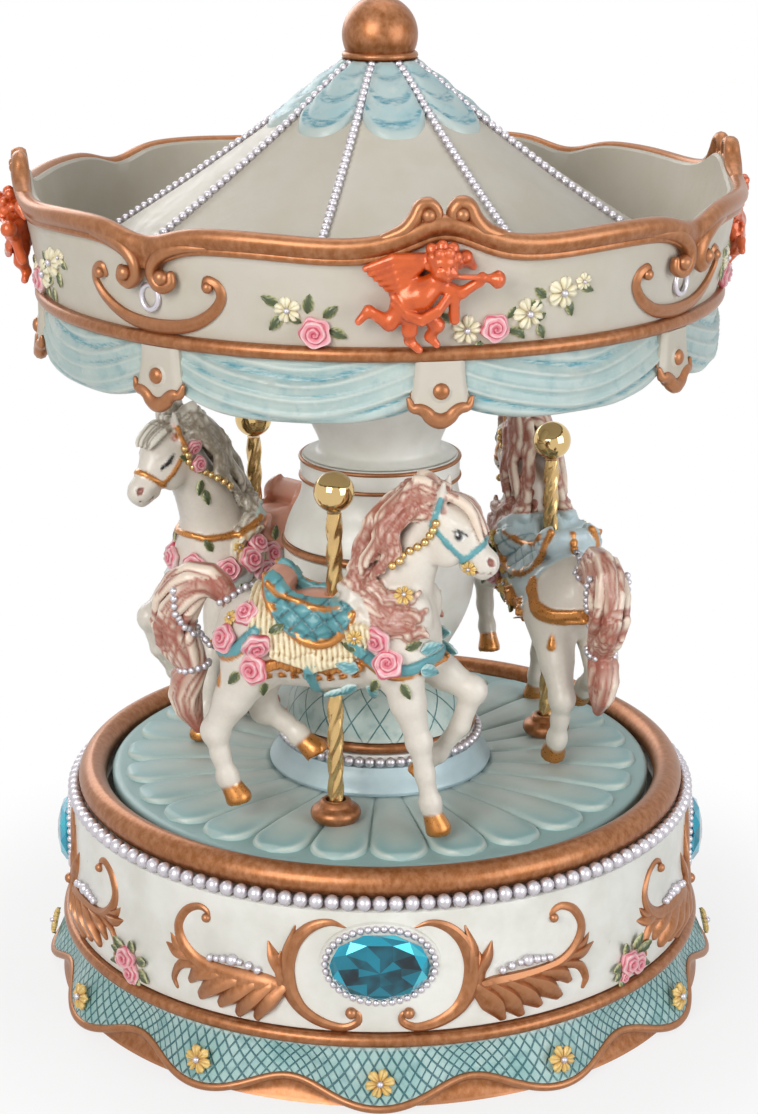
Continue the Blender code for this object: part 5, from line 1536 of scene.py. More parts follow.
LEAN = {"front": (0, 0), "right": (-1, 1), "left": (4, 3)}
CREST = [((27, 1, 146.5), (22, 2.5, 149), (16.5, 4, 145), (13, 5.5, 139), (14.5, 6.5, 133)),
    ((25, 2.8, 145), (20, 4, 146.2), (15.5, 5.5, 141.5), (12, 6.8, 134.5), (9.5, 6.8, 128.5)),
    ((24, 3.6, 142.2), (19.5, 5.5, 142.6), (16, 7, 137.5), (15.5, 7.8, 131.5), (12, 8.4, 127)),
    ((22, 0.8, 148), (15, 1.5, 145.3), (10.5, 3, 139.5), (8, 4, 133), (9, 5, 127)),
    ((14, 1.5, 141), (9.5, 3.2, 136), (7.4, 4.6, 129.5), (8.8, 6.2, 124))]
SHOULDER = [((9, 3, 129), (6.2, 5.5, 125.5), (6.5, 8, 121.5), (10.5, 9.5, 119), (16, 10, 118)),
    ((10, 4, 127.5), (10, 7.5, 124), (15, 9, 122), (19.5, 8.8, 121.2), (21.6, 7.6, 121.8)),
    ((11, 6, 125), (13, 8.5, 120), (19, 9.5, 117.5), (21.8, 8.6, 117), (22.6, 7.6, 117.5)),
    ((8, 7, 121), (12, 9.8, 116.5), (18, 10.4, 114.5), (21.8, 9.2, 113.4), (23.4, 8.2, 112.2)),
    ((6.5, 7, 122), (5.4, 9, 117.5), (9, 10.6, 114.5), (14, 11, 113.6)),
    ((7, 2, 124), (4, 4, 120), (3.6, 6.6, 117), (6.4, 8.6, 114.5))]
TAIL_LINE = [(-27, 0, 115.5), (-31, -0.5, 120.2), (-36.5, -1, 119.6), (-40.8, -1, 113.5), (-42, -1, 106.5),
    (-38.6, -1, 100.8), (-36.2, -1, 97.2), (-38.8, -1, 92.5), (-38.6, -1, 87), (-35.6, -1, 80.8)]
TAIL_WIDTH = (1.4, 2.6, 4.2, 5, 4.8, 3.6, 1.6, 3.4, 3, 0.5)


def tress(wax, line, width, count, thick, light, deep):
    """Strands laid round a line, width from it, winding slowly about it."""
    line = smooth_line(line, 18)
    width = np.interp(linspace(0, 1, 18), linspace(0, 1, len(width)), width)
    along = np.gradient(line, axis=0)
    flat = stack([-along[:, 2], 0 * along[:, 1], along[:, 0]], -1)
    flat /= np.linalg.norm(flat, axis=1)[:, None]
    for k in range(count):
        turn_by = 2 * pi * (k / count) + linspace(0, pi, 18) + 0.25 * sin(linspace(0, 9, 18) + k * 1.7)
        path = line + width[:, None] * (cos(turn_by)[:, None]
            * array((0, 0.85, 0)) + sin(turn_by)[:, None] * flat)
        for part in (path[:9], path[7:]):
            wax.press(lock(part[::2], thick * (1.0 if k % 2 else 0.86), 0.5 * thick, 8), light, 0.15, hair=deep)


def model_horse(side):
    """The bare horse with its hair, in its own millimetres: x ahead, y to its left, z up."""
    fore_out, fore_in, hind_out, hind_in = POSES[side]
    lx, lz = LEAN[side]
    light, deep = (GREY_HAIR, GREY_DEEP) if side == "left" else (CREAM_HAIR, MAUVE)
    wax = Wax((-50, -16, 59.5), (46 + lx, 16, 156), 0.54)
    add = wax.press

    def h(x, y, z):
        """A spot on the head, moved with the head's lean."""
        return (x + lx, y, z + lz)

    for part, melt in ((limb((-15, 0, 105.8), (0, 0, 105.4), 11.2, 10.4), 3),
            (limb((0, 0, 105.4), (14, 0, 107.2), 10.4, 11.2), 3), (lump((-20, 0, 107.4), (10.4, 9.9, 10.8)), 3),
            (lump((16.2, 0, 108.6), (10.6, 9.6, 11.6)), 3), (limb((4, 0, 111), (10, 0, 113), 4.8, 6.6), 3),
            (limb((14.5, 0, 113.5), (17.6 + lx * .4, 0, 127.5), 10.6, 7.2, 1.12), 4),
            (limb((17.6 + lx * .4, 0, 127.5), h(24.6, 0, 139.5), 7.2, 5.6, 1.18), 3),
            (lump(h(29.4, 0, 138), (6.6, 5, 6), 40), 2.5),
            (limb(h(31.2, 0, 136), h(37.2, 0, 130), 4.7, 3.5, 1.12), 2),
            (lump(h(37.6, 0, 129.6), (3.5, 3.2, 3.5), 35), 1.2),
            (limb(h(33.6, 0, 129.2), h(37, 0, 127.4), 2.4, 1.9), 1)):
        add(part, COAT, melt)
    for part, melt in ((lump((14.8, 6.4, 106.5), (6.4, 4.8, 9.2), -12), 2),
            (lump((-19, 6.2, 104), (8.6, 5.6, 10.8), 14), 2), (lump(h(28.6, 2.9, 133.6), (4.6, 2.3, 4.8), 20),
            1.5), (lump(h(32.2, 3.3, 139.9), (2.6, 1.2, 1.1), 25), 0.8),
            (limb(h(31, 3.2, 134.6), h(36.6, 2.2, 131.2), 1.3, 1), 1.2)):
        add(part, COAT, melt, both=True)
    add(lump(h(39.6, 2.3, 130.6), (1.1, 0.8, 0.7), 50), rgb(150, 96, 86), 0.4, cut=True, both=True)
    add(limb(h(35.6, 2.6, 128.2), h(39.2, 1.8, 127.9), 0.35, 0.3), rgb(150, 110, 100), 0.3, cut=True, both=True)
    add(limb(h(26.6, 2.6, 142), h(28, 3.3, 149.8), 2, 0.6), COAT, 0.8, both=True)
    add(limb(h(27.9, 3.4, 143.2), h(28.9, 3.9, 148), 0.9, 0.3), BLUSH, 0.4, cut=True, both=True)
    if side == "left":
        add(lump(h(31.7, 4.1, 138), (1.8, 0.9, 1.2), 25), COAT, 0.3, both=True)
        add(limb(h(29.3, 4.5, 139.5), h(31.5, 5, 137.7), 0.36, 0.6), INK, 0.05, both=True)
        add(limb(h(31.5, 5, 137.7), h(33.7, 4.4, 136.1), 0.6, 0.36), INK, 0.05, both=True)
    else:
        add(lump(h(31.9, 4.2, 137.5), (1.75, 0.9, 1.3), 12), rgb(250, 250, 248), 0.2, both=True)
        add(lump(h(32, 4.55, 137.5), (1.2, 0.78, 1.2)), INK, 0.05, both=True)
        add(limb(h(29.6, 4.45, 138.2), h(31.8, 4.75, 138.9), 0.3, 0.36), INK, 0.05, both=True)
        add(limb(h(31.8, 4.75, 138.9), h(34, 4.2, 137.6), 0.36, 0.28), INK, 0.05, both=True)
        # painted glint: a small white dot on the pupil
        add(lump(h(31.8, 5.15, 138), (0.28, 0.25, 0.28)), rgb(255, 255, 255), 0.05, both=True)
    for way, leg in ((-1, fore_out), (1, fore_in), (-1, hind_out), (1, hind_in)):
        spots = [(x, way * (6.2 + 0.5 * (i > 0)), z, r) for i, (x, z, r) in enumerate(leg)]
        for (x, y, z, r), (x2, y2, z2, r2) in zip(spots, spots[1:]):
            add(limb((x, y, z), (x2, y2, z2), r * 0.94, r2 * 0.94, 1.05), COAT, 1.6)
        for i in (2, 4):
            x, y, z, r = spots[i]
            add(lump((x, y, z), (r * 1.12, r, r * 1.2)), COAT, 1)
        (x, y, z, r), (x2, _, z2, r2) = spots[-2], spots[-1]
        ahead = (x2 - x, z2 - z) / hypot(x2 - x, z2 - z)
        toe = (x2 + ahead[0] * 2.4 + 0.6, y, z2 + ahead[1] * 2.4)
        add(limb((x2 - ahead[0], y, z2 - ahead[1]), toe, r2 * 0.98, r2 * 1.26), GOLD, 0.1, shine=1)
        add(lump((toe[0] + ahead[0] * 4.2, y, toe[2] + ahead[1] * 4.2),
            (4.4, 5.5, 3.2) if abs(ahead[1]) > 0.6 else (3.6, 5.5, 4.4)), GOLD, 0.3, cut=True, shine=1)
    if side != "left":
        add(lump((18.5, 5.6, 117), (7.5, 4.2, 7)), COAT, 2, both=True)
    for strands in (CREST, SHOULDER[:1] if side == "left" else SHOULDER):
        for n, spots in enumerate(strands):
            moved = [h(*q) if q[2] > 140 else (q[0] + lx * max(0, (q[2] - 115) / 25),
                q[1], q[2] + lz * max(0, (q[2] - 118) / 25)) for q in spots]
            for k in (-1, 0, 1):
                sway = 1.5 if side == "left" else 1.0
                wave = [(q[0] + k * 1.3 + sway * sin(2.6 * i + n), q[1] - 0.45 * abs(k) + 0.5,
                    q[2] + 0.9 * k + sway * cos(2.4 * i + k + n)) for i, q in enumerate(smooth_line(moved, 8))]
                add(lock(wave, 1.3, 0.6, 14), light, 0.12, both=True, hair=deep)
    for n, y in enumerate((-2.4, -0.9, 0.7, 2.2)):
        add(lock([h(25.5, y * 0.6, 146.4), h(30.5, y, 146.2 - 0.3 * n), h(34.6, y * 1.1, 143.2),
            h(*((36, y, 141.6) if side == "left" else (38.4 - 0.5 * abs(y), y * 0.9, 138.4 - abs(y))))],
            1.3, 0.5, 8), light, 0.12, hair=deep)
    tress(wax, TAIL_LINE, TAIL_WIDTH, 12, 1.7, light, deep)
    tress(wax, TAIL_LINE, [w * 0.4 for w in TAIL_WIDTH], 3, 2.4, light, deep)
    return wax


def quilt(colour, groove, pitch):
    """Colour and depth of a diamond quilting."""
    def depth(p):
        u, v = (p[..., 0] * 0.8 + p[..., 2]) / pitch, (p[..., 0] * 0.8 - p[..., 2]) / pitch
        return minimum(np.abs(sin(pi * u)), np.abs(sin(pi * v)))
    return (lambda p: groove + (clip(depth(p) * 3.2, 0, 1)[..., None]) * (array(colour) - groove)), \
        (lambda p: 1.0 + 0.75 * clip(depth(p) * 2.2, 0, 1))


def ribs(pitch, low, high, slant=0):
    """Depth of fringe or cord ribs standing side by side along the horse."""
    return lambda p: low + (high - low) * np.abs(sin(pi * (p[..., 0] + slant * p[..., 2]) / pitch))


def two_tone(light, deep, pitch, slant=0):
    """Colour of ribs, light on top and deep between them."""
    return lambda p: array(deep) + ribs(pitch, 0, 1, slant)(p)[..., None] ** 0.7 * (array(light) - deep)


def dress_horse(wax, side):
    """Saddle, cloths, straps and gold trims pressed on as even skins."""
    add = wax.press
    teal_deep = array(rgb(40, 92, 104))
    lx, lz = LEAN[side]
    edge = [(-16, 124.5), (-14.8, 119), (-11.5, 114), (-6.5, 111), (-0.5, 110), (4.5, 112.4), (7.6, 118.4)]
    flap = edge + [(4.5, 120.8), (-0.5, 119.5), (-6, 120), (-10.5, 122), (-13.4, 127)]
    seat, blanket = (SALMON, COAT) if side != "right" else (rgb(196, 216, 222), rgb(196, 216, 222))
    if side == "left":
        blanket = rgb(190, 214, 208)
    fall = [(-18, 123), (-15.5, 113), (-10.5, 108.6), (-2, 106.4), (5.5, 108.8), (9.5, 113)]
    hem = [(-15, 103), (-10.5, 104.2), (-7, 102.6), (-2.5, 105), (1, 103), (5, 104.6), (9, 104.6)]
    add(cloth(field_of([(-19, 124), (-17.5, 110),
        (-14.6, 103.4), (-2, 104), (8.6, 104.6), (12, 112), (9, 122), (-4, 125)]), 0.55), blanket, 0.3)
    add(cloth(strip(hem, 1.35), ribs(1.7, 0.9, 1.7)), GOLD, 0.15, shine=1)
    add(cloth(strip([(x, z - 2.4) for x, z in hem[::2]], 0.7), ribs(3.1, -1.2, 1.1)), GOLD, 0.15, shine=1)
    if side == "front":
        add(cloth(strip(fall, 3.3), ribs(1.35, 0.9, 1.9, 0.15)),
            two_tone(rgb(250, 240, 206), rgb(176, 140, 88), 1.35, 0.15), 0.1)
    add(limb((-14, -4.5, 120.5), (-14, 4.5, 120.5), 3.2, 3.2), seat, 1.4)
    add(limb((-15.2, -3, 122.4), (-15.2, 3, 122.4), 2.3, 2.3), seat, 1.4)
    add(limb((5.4, -2.6, 118.6), (5.4, 2.6, 118.6), 2.5, 2.5), seat, 1.4)
    add(lump((-4, 0, 115.6), (11, 8.2, 3.6)), seat, 1.6)
    shades, deep = quilt(TACK_TEAL, teal_deep, 4.6)
    if side == "left":
        shades, deep = SALMON, 1.3
    if side == "right":
        shades = quilt(rgb(196, 216, 222), array(rgb(120, 160, 172)), 4.6)[0]
    mask, low, high = field_of(flap)
    add(cloth((lambda p: maximum(mask(p), 4.6 - np.abs(p[..., 1])), low, high), deep), shades, 0.15)
    if side != "left":
        wax.cord(edge, 1, GOLD)
        wax.cord([(-14.8, 123.4), (-11.4, 120.4), (-6, 118.6), (-0.5, 118), (4.2, 119.4)], 0.7, GOLD)
    if side == "right":
        for k in range(3):
            add(limb((-15.4 - 0.9 * k, -7, 117.0 - k), (-16.6 - 0.9 * k, 0, 123.4 - 1.7 * k), 1.1, 1.1),
                GOLD, 0.3, both=True, shine=1)
    strap = TACK_TEAL if side == "front" else (GOLD if side == "right" else rgb(214, 224, 222))
    shine = 1.0 if side == "right" else 0.0
    for top, fall_to in (([(8, 110.5), (14, 105.4), (21, 104.6), (28, 106)], 1.9),
            ([(-17, 112), (-22, 107), (-27, 105.4), (-32, 106)], 1.9)):
        add(cloth(strip(top, 1.3), 0.9), strap, 0.15, shine=shine)
        wax.cord([(x, z - fall_to) for x, z in top], 0.7, GOLD)
    add(cloth(strip([(-3.2, 104), (-3.2, 92)], 1.3), 0.8), strap, 0.15, shine=shine)
    for x, z in ((-18.6, 103.5), (-22.6, 100.8), (-26, 99.6)):
        add(limb((x, 8.4, z + 1.4), (x - 0.6, 8.8, z - 3), 0.9, 1.5), GOLD, 0.3, both=True, shine=1)
    if side != "left":
        for k in range(7):
            add(lump((9.4 - 1.5 * abs(k - 3) / 3 + 0.3 * (k % 2), 3.6 * (k - 3) / 1.25, 120.8 - 1.15
                * abs(k - 3) ** 1.3), (2.1, 1.9, 1.7), 30), rgb(246, 236, 206), 0.35, hair=rgb(190, 160, 116))
    bridle = TACK_TEAL if side == "front" else GOLD
    for line in ([(25.6, 139.6), (33.2, 131.6)], [(32.6, 130.8), (38.4, 135.6)], [(25.6, 139.6), (27.5, 146)]):
        add(cloth(strip([(x + lx, z + lz) for x, z in line], 0.62), 0.5),
            bridle, 0.1, shine=float(side != "front"))
    if side == "left":
        add(cloth(strip([(8, 121), (17, 117.5), (24, 117), (30, 119)], 0.7), 1.1), GOLD, 0.3, shine=1)
        add(cloth(field_of([(9, 119.5), (17, 116.5), (18, 110), (8, 108)]), ribs(2.4, 0.7, 1.5, 0.4)),
            two_tone(rgb(226, 222, 200), GOLD, 2.4, 0.4), 0.2)


POSIES = {"front": (-1, [(-19.6, 114.6, 1), (-24.6, 108.6, 1.1), (-16.4, 109.8, 1.1), (-16.4, 102.8, 1.15),
    (14.2, 112.6, 1.1), (16.8, 106.2, 1.15)], [(-24.2, 113.2, .8), (19.8, 123.2, .95), (34.4, 129.2, .8),
    (8.6, 113.4, .8)], [(-11.6, 105.5, -20), (-21, 101.4, 230), (-15, 98.6, -90), (-13.4, 112, 30),
    (8.9, 109.6, 160), (20.2, 109.6, 20), (13.4, 101.4, 240), (19.6, 101.2, -60)], [(9.6, 104.6, 170),
    (23.4, 108.6, 10), (7.4, 98.6, 220), (23.8, 104.6, -20), (4.6, 96.8, 200), (11.2, 99, -100)]),
    "left": (1, [(27, 143.6, .72), (26, 138.4, .7), (26, 110, .95), (20.4, 108.4, 1.05),
    (14.6, 110.6, 1.05), (10, 106.6, 1.05), (5.4, 109.6, 1.05), (11.4, 113.8, .95), (6.2, 104.4, .9)],
    [(17, 114.5, .7)], [(24.5, 133.6, -70), (23.8, 130.8, -100), (28, 140, 20), (18, 104.6, -100),
    (23, 113.5, 60), (3, 113, 120), (9, 101.6, -80)], []), "right": (1, [(10, 106.5, 1), (16, 108.5, .9)],
    [(7.6, 116.6, 1.1), (12.6, 112.4, 1), (4.4, 109.8, 1), (1.6, 104.8, 1), (20, 113, .9)], [(5.6, 113.4, 120),
    (10.4, 109.4, -30), (1, 108.4, 170), (5, 103.6, -110), (15.4, 104.6, -60), (-2.4, 101.6, 200)], [])}


def make_horses():
    for side, azimuth in HORSES:
        body = "horse_" + side + "_body"
        wax = model_horse(side)
        dress_horse(wax, side)
        way = POSIES[side][0]
        low = box("ball_" + side)[0].z - box("ball_front")[0].z
        spot = polar(48, azimuth)
        put_in = Matrix.Translation((spot.x, spot.y, low)) @ Matrix.Rotation(radians(azimuth), 4, "Z")
        lx, lz = LEAN[side]

        def at(x, z, out=0, face=way):
            """A spot on the skin and the way it faces, in the object's frame."""
            point, normal = wax.side_spot(x, z, face)
            return put_in @ Vector(point + out * normal), put_in.to_3x3() @ Vector(normal)

        skin, faces = wax.skin()
        colours, shines = wax.paint(skin)
        bore = hypot(skin[:, 0], skin[:, 1]) < 2.4
        skin[bore, :2] *= (2.4 / maximum(hypot(skin[bore, 0], skin[bore, 1]), 0.3))[:, None]
        shape = Shape().add(skin, faces, colours, shines, matrix=put_in)
        place("horse_" + side + "_figure",
            shape.mesh("horse", weld=False), "horse", "horse_" + side, body=body, sharp=0)
        _, roses, blooms, leaves, bows = POSIES[side]
        kinds = (("roses", rosette(Shape(), 3.35), roses, 0.7), ("blooms", bloom(Shape(), 2.6, 7, YELLOW),
            blooms, 0.4), ("leaves", leaf(Shape(), 4.4, 2.4, LEAF), leaves, 0.3), ("bows",
            leaf(Shape(), 6, 3.4, [rgb(70, 140, 150), rgb(150, 200, 204), rgb(214, 232, 230)]), bows, 0.5))
        for kind, mesh, spots, out in kinds:
            if spots:
                rows = []
                for face in (1, -1):
                    for x, z, more in spots:
                        point, normal = at(x, z, out, face)
                        whole = kind in ("roses", "blooms")
                        roll = 30 * x if whole else more if face < 0 else 180 - more
                        rows.append((point, along_normal(normal, roll=roll), more if whole else 1))
                spread("horse_" + side + "_" + kind, mesh, rows, "flower", body=body)
        chains = []
        for face in (1, -1):
            neck = [(26.5 + lx, 140.5 + lz), (24.2 + lx, 136 + lz * .8),
                (20.4 + lx * .6, 133.4 + lz * .6), (16.4 + lx * .4, 130.6 + lz * .4)]
            chains.append(([tuple(at(x, z, 0.5, face)[0]) for x, z in smooth_line(neck, 24)[:, :2]], False))
        grown("horse_" + side + "_gold_beads",
            line_seed(chains), bead_tree(), "brass", body=body, Radius=1.05, Pitch=2.1, Rings=7)
        strings = []
        for face in (1, -1):
            line = smooth_line([(-20.6, 119.6), (-24.8, 117.6), (-28.6, 115.8)], 12)[:, :2]
            strings.append(([tuple(at(x, z, 0.4, face)[0]) for x, z in line], False))
            line = smooth_line([(-39.5, 118.6), (-39, 112), (-35.4, 105.8), (-31.4, 103.2)], 24)[:, :2]
            strings.append(([tuple(at(x, z, 0.3, face)[0]) for x, z in line], False))
        ring = [put_in @ Vector((-36.4 + 3.7 * cos(a), -1 + 3.6 * sin(a), 97.4 + 1.0 * cos(a)))
            for a in linspace(0, 2 * pi, 40)[:-1]]
        strings.append(([tuple(q) for q in ring], True))
        grown("horse_" + side + "_silver_beads",
            line_seed(strings), bead_tree(), "silver", body=body, Radius=0.95, Pitch=1.9, Rings=7)


# ---- cherubs ----
def make_cherubs():
    """One flying cherub with a horn, modelled facing outwards and set under every peak."""
    wax = Wax((-22, -11.5, 187.5), (14.5, 2.5, 217), 0.36)

    def chain(spots, melt=0.5):
        for (x, out, z, r), (x2, out2, z2, r2) in zip(spots, spots[1:]):
            wax.press(limb((x, -out, z), (x2, -out2, z2), r, r2), melt=melt)

    def dab(x, out, z, size, melt, cut=False):
        wax.press(lump((x, -out, z), size), melt=melt, cut=cut)

    for k in range(6):
        chain([(-4.5 - 0.9 * k, 3, 211.0 - 0.9 * k, 1.5), (-11.5 + 0.4 * k,
            2.2 + 0.3 * k, 211.0 - 1.5 * k, 1.3), (-17.4 + 1.2 * k, 1.4, 208.6 - 1.15 * k, 0.8)], 0.25)
    chain([(1.5, 2, 209, 1.6), (4.6, 1.6, 210.6, 1.7), (6.6, 1.2, 208.4, 0.9)])
    chain([(-1.8, 3.6, 206, 2.6), (-5.5, 3.8, 203, 3.2), (-9, 3.2, 200.8, 3)], 1.6)
    chain([(-9.8, 3.4, 199.6, 2.5),
        (-12.2, 3.8, 196.7, 1.7), (-16.8, 3.2, 199.6, 1.15), (-19, 3.4, 197.2, 0.9)], 0.8)
    chain([(-7.4, 4, 199.2, 2.2), (-7.8, 4.4, 195, 1.6), (-7.6, 3.6, 192.4, 1.1), (-5.6, 4.6, 190.6, 0.95)],
        0.8)
    chain([(-4.4, 3.6, 199, 2.2), (-1.7, 4.6, 196.2, 1.6), (-3.1, 3.6, 193.2, 1.1), (-1.6, 4.4, 191.6, 0.9)],
        0.8)
    chain([(-0.6, 3.8, 205.4, 1.5), (1.9, 4.6, 202.4, 1.35), (2.1, 4.2, 198.6, 1.15), (2.3, 4, 197.2, 1.25)],
        0.6)
    chain([(-0.8, 4.2, 205.2, 1.5), (3.4, 5.2, 203.8, 1.3), (7.2, 5.6, 206.4, 1.1), (7.8, 5.6, 207.4, 1.2)],
        0.6)
    chain([(1.4, 6.9, 208.2, 0.45), (8, 6, 207.4, 0.75), (9.4, 5.8, 207.1, 1), (11, 5.6, 206.8, 2.1)], 0.15)
    for lower in (0, 1.5):
        chain([(-11.6, 4.6, 203.0 - lower, 0.75), (-8.6, 6.2, 199.8 - lower * 0.7, 0.8), (-5.6, 7.2, 198.8
            - lower * 0.6, 0.85), (-2, 6.8, 200.8 - lower * 0.7, 0.8), (0.4, 5.4, 203.6 - lower, 0.75)], 0.25)
    chain([(-0.8, 4.6, 210.6, 3.5), (-0.6, 4.9, 209.6, 3.2)])
    for x, out, z, r in ((-3.2, 5, 212, 1.3),
            (-1.9, 6.3, 213.2, 1.25), (0.2, 6.6, 213.4, 1.25), (2, 5.6, 212.2, 1.2), (-3.9, 4.4, 210, 1.2),
            (-1, 4, 214.2, 1.4), (1.4, 3.8, 213.6, 1.4), (-3.2, 3.4, 213.4, 1.4), (2.8, 3.9, 210.6, 1.1)):
        dab(x, out, z, (r, r, r), 0.2)
    for x in (-1, 1):
        dab(-0.5 + 1.35 * x, 7.45, 210.2, (0.75, 0.6, 0.42), 0.25, cut=True)
        dab(-0.5 + 1.35 * x, 7.35, 210.1, (0.5, 0.45, 0.26), 0.1)
        dab(-0.5 + 1.6 * x, 7.1, 208.9, (0.95, 0.7, 0.8), 0.5)
    dab(-0.4, 8.05, 209.4, (0.42, 0.5, 0.55), 0.3)
    dab(-0.2, 7.75, 208.1, (0.62, 0.35, 0.22), 0.15)
    dab(-0.2, 7, 207.4, (0.8, 0.6, 0.5), 0.4)
    points, faces = wax.skin()
    points = xyz(points[:, 0], points[:, 2] - 201, -points[:, 1])
    mesh = Shape().add(points, faces).mesh("cherub", weld=False)
    spots = [(tuple(polar(float(crown_radius(201)) - 0.9, azimuth, 201)), facing(azimuth, 0, -9), 1)
        for azimuth in PEAKS]
    spread("crown_cherubs", mesh,
        spots, "cherub", ("crown_cherub_1", "crown_cherub_2", "crown_cherub_3", "crown_cherub_4"), sharp=0)


# ---- stage ----
def background_rays(tree):
    """1 for the rays that see the studio: straight on, in metal and through glass."""
    path = put(tree, "LightPath").outputs
    seen = put(tree, "Math", {"operation": "MAXIMUM"}, i0=path["Is Camera Ray"], i1=path["Is Glossy Ray"])
    return put(tree, "Math", {"operation": "MAXIMUM"}, i0=seen, i1=path["Is Transmission Ray"])


# name, place, side and power of a lamp, and its tint
LAMPS = (("key_light", (-0.5, -0.95, 0.62), 0.6, 8.8, (1, 0.985, 0.96)),
    ("fill_light", (0.95, -0.7, 0.34), 0.8, 7.4, (0.97, 0.985, 1)),
    ("top_light", (0.05, 0.25, 1.1), 0.7, 2.4, (1, 1, 1)),
    ("back_light", (-0.5, 0.85, 0.6), 0.6, 3.2, (1, 1, 1)))


def make_stage():
    scene = bpy.context.scene
    floor = Finish("studio floor", 0.6)
    ground = put(floor.tree, "BsdfDiffuse", Color=(0.80, 0.80, 0.80))
    light = put(floor.tree, "Emission", Color=(1.0, 1.0, 1.0), Strength=1.0)
    away = put(floor.tree, "VectorMath", {"operation": "LENGTH"}, i0=floor.spot).outputs["Value"]
    far = floor.band(away, 0.095, 0.17, 0.8, 1.0)
    share = floor.math("MULTIPLY", far, background_rays(floor.tree))
    both = put(floor.tree, "MixShader", Fac=share, i1=ground, i2=light)
    feed(floor.tree, both, floor.tree.nodes["Material Output"].inputs["Surface"])
    mesh = bpy.data.meshes.new("floor")
    reach = 12.0
    mesh.from_pydata([(-reach, -reach, 0), (reach, -reach, 0), (reach, reach, 0), (-reach, reach, 0)],
        [], [(0, 1, 2, 3)])
    mesh.materials.append(floor.material)
    plane = bpy.data.objects.new("studio_floor", mesh)
    plane.location.z = -0.0002
    scene.collection.objects.link(plane)

    world = bpy.data.worlds.new("studio")
    scene.world = world
    world.use_nodes = True
    tree = world.node_tree
    back = tree.nodes["Background"]
    up = put(tree, "SeparateXYZ", Vector=put(tree, "TexCoord").outputs["Generated"]).outputs[2]
    tone = put(tree, "MapRange", Value=up, From_Min=-0.3, From_Max=0.9, To_Min=0.03, To_Max=0.05)
    feed(tree, put(tree, "Math", {"operation": "MAXIMUM"}, i0=background_rays(tree), i1=tone),
        back.inputs["Strength"])
    back.inputs["Color"].default_value = (1, 1, 1, 1)

    for name, place_at, size, power, tint in LAMPS:
        lamp = bpy.data.lights.new(name, "AREA")
        lamp.shape = "SQUARE"
        lamp.size = size
        lamp.energy = power
        lamp.color = tint
        obj = bpy.data.objects.new(name, lamp)
        obj.location = place_at
        obj.rotation_euler = (Vector((0, 0, 0.12)) - Vector(place_at)).to_track_quat("-Z", "Y").to_euler()
        scene.collection.objects.link(obj)

    lens = bpy.data.cameras.new("camera")
    lens.lens = 78.53
    lens.sensor_width = 36.0
    lens.shift_x, lens.shift_y = -0.0009, 0.0024
    lens.clip_start, lens.clip_end = 0.01, 50.0
    eye = bpy.data.objects.new("camera", lens)
    eye.location = (0, -0.6162, 0.3059)
    eye.rotation_euler = (radians(72.64), 0, 0)
    scene.collection.objects.link(eye)
    scene.camera = eye
    scene.view_settings.view_transform = "Standard"


INNER = {"steel": ["movement_bedplate", "comb", "governor_frame", "spindle", "winding_arbor"]
        + ["plate_screw_%d" % n for n in (1, 2, 3, 4)],
    "brass": ["spring_barrel", "pinned_cylinder", "governor_fan", "winding_key", "spindle_bush"],
    "felt": ["felt_ring"], "board": ["bottom_plate"], "white": ["cam_track"]}


def dress_movement():
    """The pieces inside and underneath keep their own shapes and get their finishes."""
    for finish, names in INNER.items():
        for name in names:
            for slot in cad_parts[name].material_slots:
                slot.material = FINISHES[finish]


# ---- operators and panel ----
class MUSICBOX_OT_finishes(bpy.types.Operator):
    """Mixes the paints, platings and glazes"""
    bl_idname = "music_box.finishes"
    bl_label = "Finishes"

    def execute(self, context):
        plain_finishes()
        return {"FINISHED"}


class MUSICBOX_OT_drum(bpy.types.Operator):
    """Turns the drum wall, its moulding and the gold rim"""
    bl_idname = "music_box.drum"
    bl_label = "Drum"

    def execute(self, context):
        make_drum()
        return {"FINISHED"}


class MUSICBOX_OT_skirt(bpy.types.Operator):
    """Shapes the waved lattice skirt and its gold hem"""
    bl_idname = "music_box.skirt"
    bl_label = "Skirt"

    def execute(self, context):
        make_skirt()
        return {"FINISHED"}


class MUSICBOX_OT_rim_pearls(bpy.types.Operator):
    """Strings the pearls under the rim"""
    bl_idname = "music_box.rim_pearls"
    bl_label = "Rim pearls"

    def execute(self, context):
        make_rim_pearls()
        return {"FINISHED"}


class MUSICBOX_OT_gems(bpy.types.Operator):
    """Cuts the four oval gems and sets them in pearls"""
    bl_idname = "music_box.gems"
    bl_label = "Gems"

    def execute(self, context):
        make_gems()
        return {"FINISHED"}


class MUSICBOX_OT_scrolls(bpy.types.Operator):
    """Lays the acanthus scrolls on the drum"""
    bl_idname = "music_box.scrolls"
    bl_label = "Scrolls"

    def execute(self, context):
        make_scrolls()
        return {"FINISHED"}


class MUSICBOX_OT_drum_flowers(bpy.types.Operator):
    """Sets the bouquets and the skirt flowers"""
    bl_idname = "music_box.drum_flowers"
    bl_label = "Drum flowers"

    def execute(self, context):
        make_drum_flowers()
        return {"FINISHED"}


class MUSICBOX_OT_turntable(bpy.types.Operator):
    """Makes the turntable and its raised petals"""
    bl_idname = "music_box.turntable"
    bl_label = "Turntable"

    def execute(self, context):
        make_turntable()
        return {"FINISHED"}


class MUSICBOX_OT_column(bpy.types.Operator):
    """Turns the centre column"""
    bl_idname = "music_box.column"
    bl_label = "Column"

    def execute(self, context):
        make_column()
        return {"FINISHED"}


class MUSICBOX_OT_swags(bpy.types.Operator):
    """Drapes the swags and sets the tabs between them"""
    bl_idname = "music_box.swags"
    bl_label = "Swags"

    def execute(self, context):
        make_swags()
        make_tabs()
        return {"FINISHED"}


